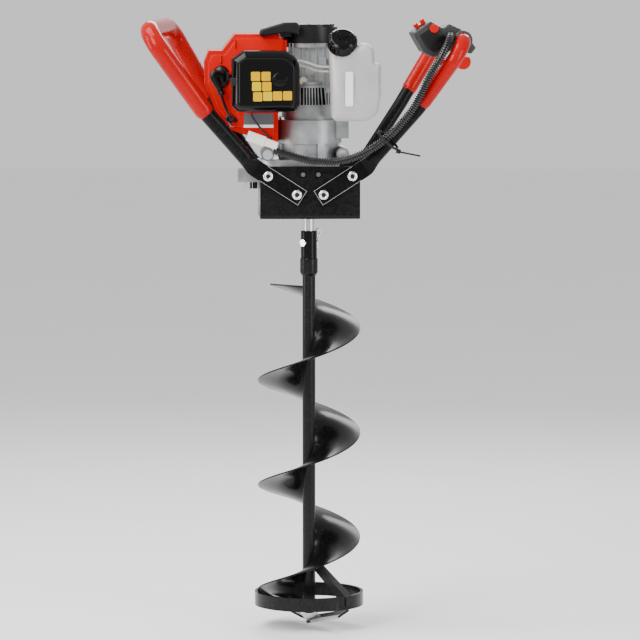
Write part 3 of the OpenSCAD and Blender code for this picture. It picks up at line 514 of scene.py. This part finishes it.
def loop_tube_piece(name, mirror, r, bar, node):
    """One bent tube with its two pressed ends, from strip to strip."""
    front_low, rear_low = (Vector((LOWER_BOLT[0], foot.y, LOWER_BOLT[1])) - STRIP_WAY * 12
                           for foot in (LEG_FOOT, LEG_FOOT_REAR))
    path = filleted([front_low, LEG_FOOT, LEG_KNEE, *bar, LEG_KNEE_REAR, LEG_FOOT_REAR, rear_low],
                    [FOOT_BEND, KNEE_BEND, CORNER_BEND, CORNER_BEND, KNEE_BEND, FOOT_BEND], 12)
    dense = spaced(path, 3)
    dense.append(path[-1])
    length = [0]
    for a, b in zip(dense, dense[1:]):
        length.append(length[-1] + (b - a).length)
    rings = []
    for i, (point, across, up) in enumerate(frames(dense, (0, 1, 0))):
        from_end = min(length[i], length[-1] - length[i])
        t = max(0, min(1, (from_end - STRIP_LENGTH) / FLARE_LENGTH))
        t = t * t * (3 - 2 * t)
        thick = STRIP_T / 2 + (r - STRIP_T / 2) * t
        wide = STRIP_W / 2 + (r - STRIP_W / 2) * t
        squareness = STRIP_SQUARENESS + (TUBE_SQUARENESS - STRIP_SQUARENESS) * min(1, t * 1.4)
        rings.append(flat_ring(point, across, up, thick, wide, squareness, 40))
    piece(name, *mirrored(*loft(rings), mirror), "frame_black", "powerhead", node, [node], 40)


def strip_edge_highlights(mirror):
    """A painted highlight round the front face of one pressed strip: a thin raised border in lighter grey
    that stands in for light caught on the rounded edge.
    """
    way = STRIP_WAY
    across = Vector((-way.z, 0, way.x))
    low = Vector((LOWER_BOLT[0], 0, LOWER_BOLT[1])) - way * 11.6
    high = low + way * 84
    half = STRIP_W / 2 - 0.6
    back, front = -80.6, -81.35
    rings = []
    for corner, inwards in ((high + across * half, -across), (low + across * half, way - across),
                            (low - across * half, way + across), (high - across * half, across)):
        inner = corner + inwards * 0.55
        rings.append([Vector((p.x * mirror, y, p.z)) * MM
                      for p, y in ((corner, back), (corner, front), (inner, front), (inner, back))])
    vertices, faces = loft(rings)
    return vertices, [tuple(reversed(f)) for f in faces] if mirror > 0 else faces


def at_height(a, b, z):
    """The point at height z on the line through a and b."""
    return a + (b - a) * ((z - a.z) / (b.z - a.z))


def grip_piece(name, mirror, r, thick, path, bends, node):
    """The dipped grip: a skin over the bar that ends in a soft lip."""
    dense = spaced(filleted(path, bends, 16), 3)
    last = len(dense) - 1

    def radius(i):
        lip = min(i, last - i)
        return r + thick * (0.25, 0.7, 0.92, 1.04, 1.02)[lip] if lip < 5 else r + thick

    body = mirrored(*loft(tube_rings(dense, radius, 40)), mirror)
    piece(name, *body, "red_grip", "powerhead", node, [node], 60)


LEFT_R, RIGHT_R = 14.5, 12
loop_tube_piece("left_loop_tube", -1, LEFT_R, LEFT_BAR, "left_loop")
loop_tube_piece("right_loop_tube", 1, RIGHT_R, RIGHT_BAR, "right_loop")
# Painted highlights: lighter borders on the strips stand in for light caught on their rounded edges.
piece("left_strip_highlight", *strip_edge_highlights(-1), "edge_shine", "powerhead", "left_loop")
piece("right_strip_highlight", *strip_edge_highlights(1), "edge_shine", "powerhead", "right_loop")
grip_piece("left_dipped_grip", -1, LEFT_R, 3,
           [at_height(LEG_FOOT, LEG_KNEE, 954), LEG_KNEE, *LEFT_BAR,
            at_height(LEG_KNEE_REAR, LEFT_BAR[1], 972)],
           [KNEE_BEND, CORNER_BEND, CORNER_BEND], "left_grip")
grip_piece("right_dipped_grip", 1, RIGHT_R, 2,
           [at_height(LEG_KNEE, RIGHT_BAR[0], 970), *RIGHT_BAR,
            at_height(LEG_KNEE_REAR, RIGHT_BAR[1], 984)],
           [CORNER_BEND, CORNER_BEND], "right_grip")


# ---------------------------------------------------------------- bit

FLIGHT_R = 95
FLIGHT_PITCH = 195
FLIGHT_T = 3
FLIGHT_Z = 553.5
SCREW_TOP, SCREW_SPLIT, SCREW_END = 138, -404, -945
TUBE_R = 12


def flight_piece(name, turn_from, turn_to, node):
    """The screw: a smooth sheet with a rounded outer edge and a weld bead along the tube."""
    steps = int((turn_to - turn_from) / 2.5)
    half = FLIGHT_T / 2
    section = [(TUBE_R - 0.5, half + 2.2), (TUBE_R + 1.6, half + 1.6), (TUBE_R + 4, half + 0.2), (30, half),
               (60, half), (FLIGHT_R - 1.6, half), (FLIGHT_R - 0.6, half - 0.4), (FLIGHT_R, 0.5),
               (FLIGHT_R, -0.5), (FLIGHT_R - 0.6, 0.4 - half), (FLIGHT_R - 1.6, -half), (60, -half),
               (30, -half), (TUBE_R + 4, -half - 0.2), (TUBE_R + 1.6, -half - 1.6),
               (TUBE_R - 0.5, -half - 2.2)]
    rings = []
    for i in range(steps + 1):
        degrees = turn_from + (turn_to - turn_from) * i / steps
        a = radians(degrees)
        z = FLIGHT_Z + FLIGHT_PITCH * degrees / 360
        rings.append([Vector((x * cos(a), x * sin(a), z + y)) * MM for x, y in reversed(section)])
    piece(name, *loft(rings), "bit_black", "bit", node, [node], 50)


flight_piece("screw_upper", SCREW_SPLIT, SCREW_TOP, "flight_upper")
flight_piece("screw_lower", SCREW_END, SCREW_SPLIT, "flight_lower")

POINT = [(0, 0, 0.4), (18, 22, 1), (18, 33, 1), (-18, 33, 1), (-18, 22, 1)]
piece("centre_point", *slab(POINT, [(3.4, 0.4), (3.4, -0.3), (-3.4, -0.3), (-3.4, 0.4)]), "blade", "bit",
      "cutter_blades", (), 30)

BLADE_TURNS = (-50, 130)
BLADE_R, BLADE_Z = 95, 29
BLADE_DROP, BLADE_RAKE = 13, 20


def cutting_edge(turn):
    """The ground edge along the low side of one cutter plate: a bright bar that wraps it."""
    c, q = cos(radians(turn)), sin(radians(turn))
    drop, rake = radians(BLADE_DROP), radians(BLADE_RAKE)
    rings = []
    for along in (-78, -1):
        ring = []
        for side, lift in ((-14.5, -2.4), (-14.5, 2.4), (-8, 2.4), (-8, -2.4)):
            y, z = side * cos(rake) - lift * sin(rake), side * sin(rake) + lift * cos(rake)
            x, z = along * cos(drop) - z * sin(drop), along * sin(drop) + z * cos(drop)
            x += BLADE_R
            ring.append(Vector((x * c - y * q, x * q + y * c, BLADE_Z + z)) * MM)
        rings.append(ring)
    return loft(rings)


piece("cutting_edges", *joined(*map(cutting_edge, BLADE_TURNS)), "blade", "bit", "cutter_blades", (), 30)


# ---------------------------------------------------------------- conduit

CONDUIT = [(-68, -97, 886), (-46, -99, 880), (-25, -100, 874), (0, -101, 868), (22, -102, 866),
           (45, -103, 866), (66, -104, 870), (88, -105, 878), (108, -106, 888), (128, -108, 901),
           (148, -112, 919), (168, -117, 942), (186, -123, 966), (200, -130, 992), (212, -136, 1018),
           (224, -140, 1040), (234, -141, 1056), (242, -138, 1070), (248, -130, 1082), (252, -118, 1090),
           (254.2, -104, 1094), (255.2, -88, 1097)]


def corrugated(name, route, r, node):
    """Split corrugated sleeve: a tube whose radius steps in and out."""
    dense = spaced(smooth_path(route, 12), 0.9)

    def radius(i):
        return r - (2.4, 0.2, 0, 0.2, 2.4)[i % 5]

    piece(name, *tube(dense, radius, 20), "sleeve", "powerhead", node, [node], 25)


corrugated("corrugated_conduit", CONDUIT, 7.5, "conduit")


# ---------------------------------------------------------------- air filter

COVER = [(-144, 969, 5), (-132, 958, 6), (-20.5, 958, 16), (-20.5, 1069, 34), (-122, 1069, 8),
         (-144, 1054, 5)]
COVER_LEVELS = [(-100, 0.8), (-101, 0), (-124, 0), (-127, 0.8), (-131.5, 3.6), (-135.5, 7), (-138.6, 9.8),
                (-139.7, 11.2), (-140, 12.6), (-139.8, 13.4), (-138.9, 14.2), (-138.6, 15.4), (-138.6, 18)]
piece("cover_shell", *slab(COVER, COVER_LEVELS), "gloss_black", "powerhead", "filter_cover",
      ["filter_cover"], 50)

knob_at = axis_place((-57.2, -138.6, 1016.8), (0, -1, 0))
knob_disc = lathe([(1, 0), (14, 0), (14.4, 0.6), (14, 1.4), (12.6, 2.2), (1, 2.6)], 40, knob_at,
                  lambda r, h, a: r * (1 - 0.12 * sin(a) ** 2))
knob_wing = slab(rectangle(-11, -3.6, 11, 3.6, 3), [(2, 0), (6, 0.4), (7, 1.4), (7.2, 2.4)], knob_at)
piece("knob_wing", *joined(knob_disc, knob_wing), "gloss_black", "filter_screw", "filter_knob",
      ["filter_knob"], 40)

HALF_TILE = 8.25
AMBER, YELLOW = "tile_amber", "tile_yellow"
TILES = [(-100.8, 1023, AMBER), (-82, 1023, AMBER), (-98.9, 1004.6, YELLOW), (-80.5, 1004.6, AMBER),
         (-97, 986, AMBER), (-79, 987, YELLOW), (-61.2, 987.5, AMBER), (-43, 987.9, AMBER)]
for number, (x, z, colour) in enumerate(TILES, start=1):
    outline = rectangle(x - HALF_TILE, z - HALF_TILE, x + HALF_TILE, z + HALF_TILE, 1.8)
    piece(f"cover_tile_{number}", *slab(outline, [(-138.4, 0), (-138.8, 0), (-138.95, 0.2)]), colour,
          "powerhead", "filter_cover")

piece("cover_clip", *slab(rectangle(-146, 1006, -129, 1020, 2), pillow(-112, -137.4, 2)), "matt_black",
      "powerhead", "filter_cover")


# ---------------------------------------------------------------- engine shroud

PANEL = [(-186, 1042, 6), (-186, 1006, 8), (-167, 961, 8), (-139, 928, 5), (-66, 908, 3),
         (-64, 948, 3), (-48, 962, 3), (-48, 1090, 4), (-134, 1090, 5), (-155, 1060, 5), (-180, 1060, 6)]
piece("shroud_raised_panel", *slab(PANEL, [(-63.5, 0), (-65.4, 0.2), (-66.6, 0.9), (-67, 2)]),
      "red_shroud", "powerhead", "engine_shroud", (), 50)
for name, x, low, high in (("shroud_rib_left", -162.5, 1044, 1059),
                           ("shroud_rib_right", -136.5, 1072, 1089)):
    piece(name, *slab(rectangle(x - 1.4, low, x + 1.4, high, 1.2), pillow(-66, -69.5, 1.1)), "red_shroud",
          "powerhead", "engine_shroud", (), 60)
piece("shroud_sticker", *slab(rectangle(-121, 926.5, -67, 953, 0.8), [(-66.6, 0), (-67.25, 0.1)]),
      "sticker_grey", "powerhead", "engine_shroud")
piece("sticker_foot", *slab(rectangle(-121, 926.5, -67, 932, 0.8), [(-66.8, 0), (-67.4, 0.1)]),
      "sticker_white", "powerhead", "engine_shroud")
grommet_at = axis_place((-147, -66, 943), (0, -1, 0.3))
GROMMET = [(3, -2), (7.4, -2), (8, 0.5), (7.2, 2.6), (4.8, 3.4), (3, 2.6)]
piece("lead_grommet", *lathe(GROMMET, 28, grommet_at), "rubber", "powerhead", "plug_lead")


# ---------------------------------------------------------------- plug boot

boot_at = axis_place((-162, -62, 1019.5), (0, -1, 0), (0, 0, 1))
dome = lathe([(8, -2), (21, -2), (22, 1), (21.4, 4), (19, 8.5), (15, 12.5), (9, 15.5), (3, 16.8)], 44,
             boot_at, lambda r, h, a: r * (1 - 0.27 * sin(a) ** 2))
elbow_path = smooth_path([(-160, -76, 1023), (-172, -84, 1027), (-178, -87, 1022), (-173, -87, 1011),
                          (-166, -86.5, 1000), (-162.5, -86, 991)], 5)
elbow = tube(elbow_path, lambda i: (5.6, 6, 6.4, 6.6, 6.6)[min(i // 3, 4)] - 0.04 * i, 22)
collar = tube([(-163.2, -86, 993), (-162.6, -86, 991.5), (-161.6, -86, 988), (-161.4, -86, 986.8)],
              lambda i: (5.4, 6.6, 6.4, 5.2)[i], 22)
piece("boot_and_elbow", *joined(dome, elbow, collar), "rubber", "powerhead", "plug_boot", ["plug_boot"], 55)


# ---------------------------------------------------------------- fuel tank and cap

TANK = [(38, 941, 11), (102, 941, 18), (121, 954, 18), (127.5, 987, 40), (127, 1047, 7), (115, 1047.5, 3),
        (114, 1082, 20), (34, 1082, 12)]
SEAT_HEIGHT, SEAT_R, SEAT_FADE = 0.0055, 0.030, 0.010
NECK, NECK_WAY = (57, -111, 1071), (0, -1, 1)
neck_at = axis_place(NECK, NECK_WAY)


def tank_piece():
    """The blow-moulded tank: its body with the slanted seat under the cap pressed in, and the neck."""
    vertices, faces = slab(TANK, pillow(-55, -140, 15, steps=7), steps=10)
    base, way = Vector(NECK) * MM, Vector(NECK_WAY).normalized()
    for i, v in enumerate(vertices):
        rise = (v - base).dot(way)
        off_axis = (v - base - way * rise).length
        if rise > SEAT_HEIGHT and off_axis < SEAT_R + SEAT_FADE:
            fade = 1 - max(0, (off_axis - SEAT_R) / SEAT_FADE)
            vertices[i] = v - way * (rise - SEAT_HEIGHT) * fade
    neck = lathe([(19.5, -8), (19.5, 24), (18, 24.6), (16, 24.6), (16, 4), (2, 3)], 48, neck_at)
    seam = slab(TANK, [(-96.3, 0.6), (-96.3, -0.7), (-97.7, -0.7), (-97.7, 0.6)], steps=10)
    return joined((vertices, faces), neck, seam)


piece("tank_body", *tank_piece(), "tank", "powerhead", "fuel_tank", ["fuel_tank"], 60)
piece("tank_sticker", *slab(rectangle(61.6, 968.7, 75.9, 1031, 3), [(-139.7, 0), (-140.25, 0.15)]),
      "sticker_white", "powerhead", "fuel_tank")


def knurl(r, h, a):
    """The 24 ridges round the side of the cap."""
    return r + (0.9 * max(0, cos(24 * a)) ** 0.6 if 24.5 < r < 27 and 10 < h < 27 else 0)


CAP = [(20.2, 9), (20.2, 8), (26, 8), (26.4, 10.5), (26.4, 14), (26.2, 24), (25.6, 26.4), (24.2, 28.2),
       (22.6, 29), (21.6, 30.4), (20, 31), (17.5, 31), (16.8, 30), (12.5, 30), (11.8, 31), (9, 31),
       (8.2, 30.2), (2, 30.2)]
piece("ridged_cap", *lathe(CAP, 144, neck_at, knurl), "gloss_black", "cap", "fuel_cap", ["fuel_cap"])


# ---------------------------------------------------------------- starter

HANDLE = [(-93.5, 1098, 5), (-88, 1092.5, 4), (-48, 1099, 8), (-33, 1098.5, 6), (-20, 1096.5, 5),
          (-18, 1112, 5), (-24, 1119, 6), (-48, 1119, 12), (-90, 1106.5, 5)]
piece("sculpted_handle", *slab(HANDLE, pillow(-62.4, -78, 4.5)), "satin_black", "pull", "pull_handle",
      ["pull_handle"], 60)

ROPE_X, ROPE_Z, ROPE_R = -45, 1099, 2.2
rope_path = [(ROPE_X, -48 - 1.1 * i, ROPE_Z) for i in range(21)]
rope = piece("starter_rope", *tube(rope_path, ROPE_R, 16, (1, 0, 0)), "rope", "", "pull_handle", (), 60)
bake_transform(rope)


# ---------------------------------------------------------------- throttle housing

HOUSING_SHARE = 2 / 7
HOUSING_MID = RIGHT_BAR[0] + (RIGHT_BAR[1] - RIGHT_BAR[0]) * HOUSING_SHARE
BAR_WAY = (RIGHT_BAR[1] - RIGHT_BAR[0]).normalized()
HOUSING_X = BAR_WAY.cross(Vector((0, 0, 1))).normalized()


def on_housing(x, z, depth):
    """A point of an outline square to the right hand bar, depth along the bar."""
    return (HOUSING_MID + HOUSING_X * x + Vector((0, 0, 1)) * z + BAR_WAY * depth) * MM


HOUSING = [(-72, -20, 5), (-53, -31, 7), (-20, -19, 8), (2, -19, 6), (17, -25, 3), (26, -14, 3),
           (13, 3, 10), (-2, 20, 4), (-24, 30, 3), (-36, 22, 4), (-59, 35, 3), (-91, 13, 4)]
front_half = slab(HOUSING, pillow(-0.3, -28, 3.5, soft_back=False), on_housing)
rear_half = slab(HOUSING, pillow(28, 0.3, 3.5), on_housing)
piece("housing_front_half", *front_half, "housing_grey", "powerhead", "throttle_housing_front",
      ["throttle_housing_front"], 50)
piece("housing_rear_half", *rear_half, "housing_grey", "powerhead", "throttle_housing_rear",
      ["throttle_housing_rear"], 50)


def switch_block(along):
    """One ridge of the stop switch, on the slanted face at the housing's upper end."""
    centre, way, out = Vector((-75, 24)), Vector((0.824, 0.567)), Vector((-0.567, 0.824))
    corners = [centre + way * (along + a) + out * b for a, b in ((-4, 2.5), (4, 2.5), (4, 9.5), (-4, 9.5))]
    return slab([(p.x, p.y, 1.2) for p in corners], pillow(6.5, -6.5, 1), on_housing)


piece("switch_ridges", *joined(switch_block(-4), switch_block(10)), "red_plastic", "switch",
      "stop_switch", (), 40)
DISH = [(-66, -13, 5), (-50, -23, 6), (-38, -16, 6), (-26, 2, 5), (-42, 18, 5), (-58, 26, 4), (-80, 11, 4)]
piece("housing_pad", *slab(DISH, [(-27, 0), (-29.2, 0.6), (-29.8, 1.8)], on_housing), "satin_black",
      "powerhead", "throttle_housing_front", (), 50)
collar_path = [on_housing(0, 0, d) / MM for d in (-38, -36, -30, -27)]
piece("housing_collar", *tube(collar_path, lambda i: (15, 17.5, 18.5, 18.5)[i], 36, (1, 0, 0)),
      "housing_grey", "powerhead", "throttle_housing_front", (), 50)


# ---------------------------------------------------------------- fasteners

HEAD = [(2, 1.2), (4.4, 1.2), (4.6, 4.4), (5.6, 5), (7.4, 4.7), (8.8, 3.6), (9.5, 2), (9.6, 0.2), (8, 0)]


def hexagon(r, low, high, place):
    """A six-sided bar between two heights of a place."""
    turns = [pi * k / 3 for k in range(6)]
    return loft([[place(r * cos(a), r * sin(a), h) for a in turns] for h in (low, high)])


LOOP_BOLTS = [axis_place((side * x, face * 81, z), (0, face, 0))
              for side in (-1, 1) for face in (-1, 1) for x, z in (LOWER_BOLT, UPPER_BOLT)]
bolts = []
for at in LOOP_BOLTS:
    bolts += [lathe(HEAD[::-1], 32, at), hexagon(7, -15, -9.2, at), lathe([(4, -18), (4, 0)], 20, at)]
piece("button_bolts", *joined(*bolts), "zinc", "powerhead", "loop_bolts", ["loop_bolts"])
# Painted shade: a matt black hexagon sunk in each zinc bolt head stands in for the shade inside its hex
# socket.
socket_shades = [hexagon(4.5, 1, 2.6, at) for at in LOOP_BOLTS]
piece("bolt_socket_shades", *joined(*socket_shades), "matt_black", "powerhead", "loop_bolts")

piece("crankcase_plug", *lathe([(1, 0), (8, 0), (8, 1.6), (7, 2.8), (3, 3.4), (1, 3.4)], 28,
                               axis_place((-12, -41, 1010), (0, -1, 0))), "cream", "powerhead", "crankcase")


def round_wall(r, x, z):
    """A point on the upright wall of radius r about the crankshaft, at x and height z."""
    return Vector((x, -((r * r - x * x) ** 0.5), z)) * MM


def wall_strip(r, thick, low, high):
    """A thin slanted plate on the round wall; low and high are (x from, x to, z)."""
    steps = 8
    rings = []
    for i in range(steps + 1):
        t = i / steps
        bottom, top = low[0] + (low[1] - low[0]) * t, high[0] + (high[1] - high[0]) * t
        rings.append([round_wall(r, bottom, low[2]), round_wall(r, top, high[2]),
                      round_wall(r + thick, top, high[2]), round_wall(r + thick, bottom, low[2])])
    return loft(rings)


VENT_R, BAR_WIDTH = 50.2, 2.3
VENT_BARS = [(-18.5, 0), (-12.2, 0), (-7, 0.3), (-1.9, 0.6), (3.3, 1), (8.5, 2), (13.8, 3), (19.4, 5),
             (26, 7)]
# Painted shade: a thin near-black sheet on the wall behind the vent bars stands in for the shade inside the
# vent.
piece("fan_vent_shade", *wall_strip(49.9, 0.35, (-18, 29.5, 966.5), (-18, 29.5, 999.5)), "recess",
      "powerhead", "fan_housing", (), 60)
bars = [wall_strip(VENT_R, 1.6, (x + lean * 0.5, x + lean * 0.5 + BAR_WIDTH, 965.5),
                   (x, x + BAR_WIDTH, 999.8)) for x, lean in VENT_BARS]
piece("fan_vent_bars", *joined(*bars), "cast", "powerhead", "fan_housing", (), 60)
piece("fan_vent_frame", *joined(wall_strip(VENT_R, 1.4, (-18.5, 29.5, 963.5), (-18.5, 29.5, 966.8)),
                                wall_strip(VENT_R, 1.8, (-18.5, 29.5, 998.6), (-18.5, 29.5, 1002))),
      "cast", "powerhead", "fan_housing", (), 60)

for side_name, x in (("left", -13), ("right", 15)):
    at = axis_place((x, -76.5, 841), (0, -1, 0))
    # Painted shade: a near-black disc round each screw stands in for the shade in the frame plate's hole.
    piece(f"frame_hole_shade_{side_name}", *lathe([(5.6, -1.8), (6.4, -1.8), (6.4, -1.4), (3, -1.3)], 28, at),
          "recess", "powerhead", "frame_bracket")
    piece(f"frame_screw_{side_name}", *hexagon(4.4, -1.6, -0.6, at), "dull_steel", "powerhead",
          "case_bolts")

lug_bolts = [hexagon(4.6, 0, 12.5, axis_place((x, -12, 824.2), (0, 0, -1))) for x in (-110, -99.5)]
piece("lug_bolts", *joined(*lug_bolts), "satin_black", "powerhead", "case_bolts")


def cap_bar(turn):
    """One raised rib across the top of the cap."""
    c, q = cos(radians(turn)), sin(radians(turn))
    ends = [(-11, -1.3), (11, -1.3), (11, 1.3), (-11, 1.3)]
    return loft([[neck_at(x * (1 - by) * c - y * q, x * (1 - by) * q + y * c, h) for x, y in ends]
                 for h, by in ((29.5, 0), (31.2, 0), (31.6, 0.03))])


piece("cap_ribs", *joined(cap_bar(20), cap_bar(80), cap_bar(140)), "gloss_black", "cap", "fuel_cap", (), 40)


# ---------------------------------------------------------------- CAD nodes that stay

FAINT_EDGE = 0.0003
SOFT_EDGES = {
    "frame_bracket": 0.0006, "gear_case": 0.0015, "gear_case_cover": 0.0015, "clutch_housing": 0.0015,
    "fan_housing": 0.0012, "crankcase": 0.001, "carburettor": 0.001, "case_bolts": 0.001,
    "recoil_housing": 0.0015, "engine_shroud": 0.002, "filter_base": 0.001, "muffler": 0.002,
    "wire_connector": 0.001, "cable_tie": 0.0004, "bit_coupling": 0.0005, "cutter_ring": 0.0006,
    "cutter_blades": 0.0004, "throttle_trigger": 0.0015, "stop_switch": 0.0006, "lock_button": 0.0008,
}
for node_name, node in NODES.items():
    if not node.hide_render:
        soften(node, SOFT_EDGES.get(node_name, FAINT_EDGE))


# ---------------------------------------------------------------- stage, light and camera

FLOOR_R, FLOOR_GAP = 14, 0.004
SKY_STRENGTH = 0.85
SENSOR_WIDTH, VIEW_WIDTH = 36, 1.184


def studio():
    """A pale floor and an even white sky."""
    backdrop, shader = new_material("backdrop", (0.93, 0.93, 0.93), 0.6)
    grain = ramp(backdrop, noise(backdrop, 3, 2), (0.3, (0.92, 0.92, 0.92)), (0.7, (0.94, 0.94, 0.94)))
    backdrop.node_tree.links.new(grain, shader.inputs["Base Color"])
    bpy.ops.mesh.primitive_circle_add(vertices=96, radius=FLOOR_R, fill_type="NGON",
                                      location=(0, 0, -FLOOR_GAP))
    floor = bpy.context.object
    floor.name = "studio_floor"
    floor.data.materials.append(backdrop)
    world = bpy.data.worlds.new("studio")
    bpy.context.scene.world = world
    world.use_nodes = True
    world.node_tree.nodes["Background"].inputs["Color"].default_value = (1, 1, 1, 1)
    world.node_tree.nodes["Background"].inputs["Strength"].default_value = SKY_STRENGTH


def softbox(name, place, target, size, power):
    """A rectangular lamp at a place, turned to a target."""
    light = bpy.data.lights.new(name, "AREA")
    light.shape = "RECTANGLE"
    light.size, light.size_y = size
    light.energy = power
    obj = bpy.data.objects.new(name, light)
    bpy.context.scene.collection.objects.link(obj)
    obj.location = place
    obj.rotation_euler = (Vector(target) - Vector(place)).to_track_quat("-Z", "Y").to_euler()


def photo_camera():
    """The main camera: a long lens in front, a little to the left and raised."""
    aim = Vector((0.0205, 0, 0.567))
    azimuth, elevation, distance = radians(-2), radians(5.5), 8.0
    back = Vector((sin(azimuth) * cos(elevation), -cos(azimuth) * cos(elevation), sin(elevation)))
    camera = bpy.data.cameras.new("photo_camera")
    camera.lens = SENSOR_WIDTH * distance / VIEW_WIDTH
    obj = bpy.data.objects.new("photo_camera", camera)
    bpy.context.scene.collection.objects.link(obj)
    obj.location = aim + back * distance
    obj.rotation_euler = (-back).to_track_quat("-Z", "Y").to_euler()
    bpy.context.scene.camera = obj


studio()
softbox("key", (-1.6, -2.2, 2.4), (0, 0, 0.7), (1.4, 1.4), 75)
softbox("fill", (2.2, -1.8, 1.2), (0, 0, 0.6), (1.0, 2.0), 40)
softbox("top", (-0.9, -0.3, 2.5), (0, 0, 1), (1.3, 1.3), 45)
softbox("side", (-2.4, -0.2, 1.1), (0, 0, 0.9), (0.5, 1.6), 22)
softbox("rim", (0.4, 2.2, 2.2), (0, 0, 0.8), (2.0, 0.8), 50)
photo_camera()
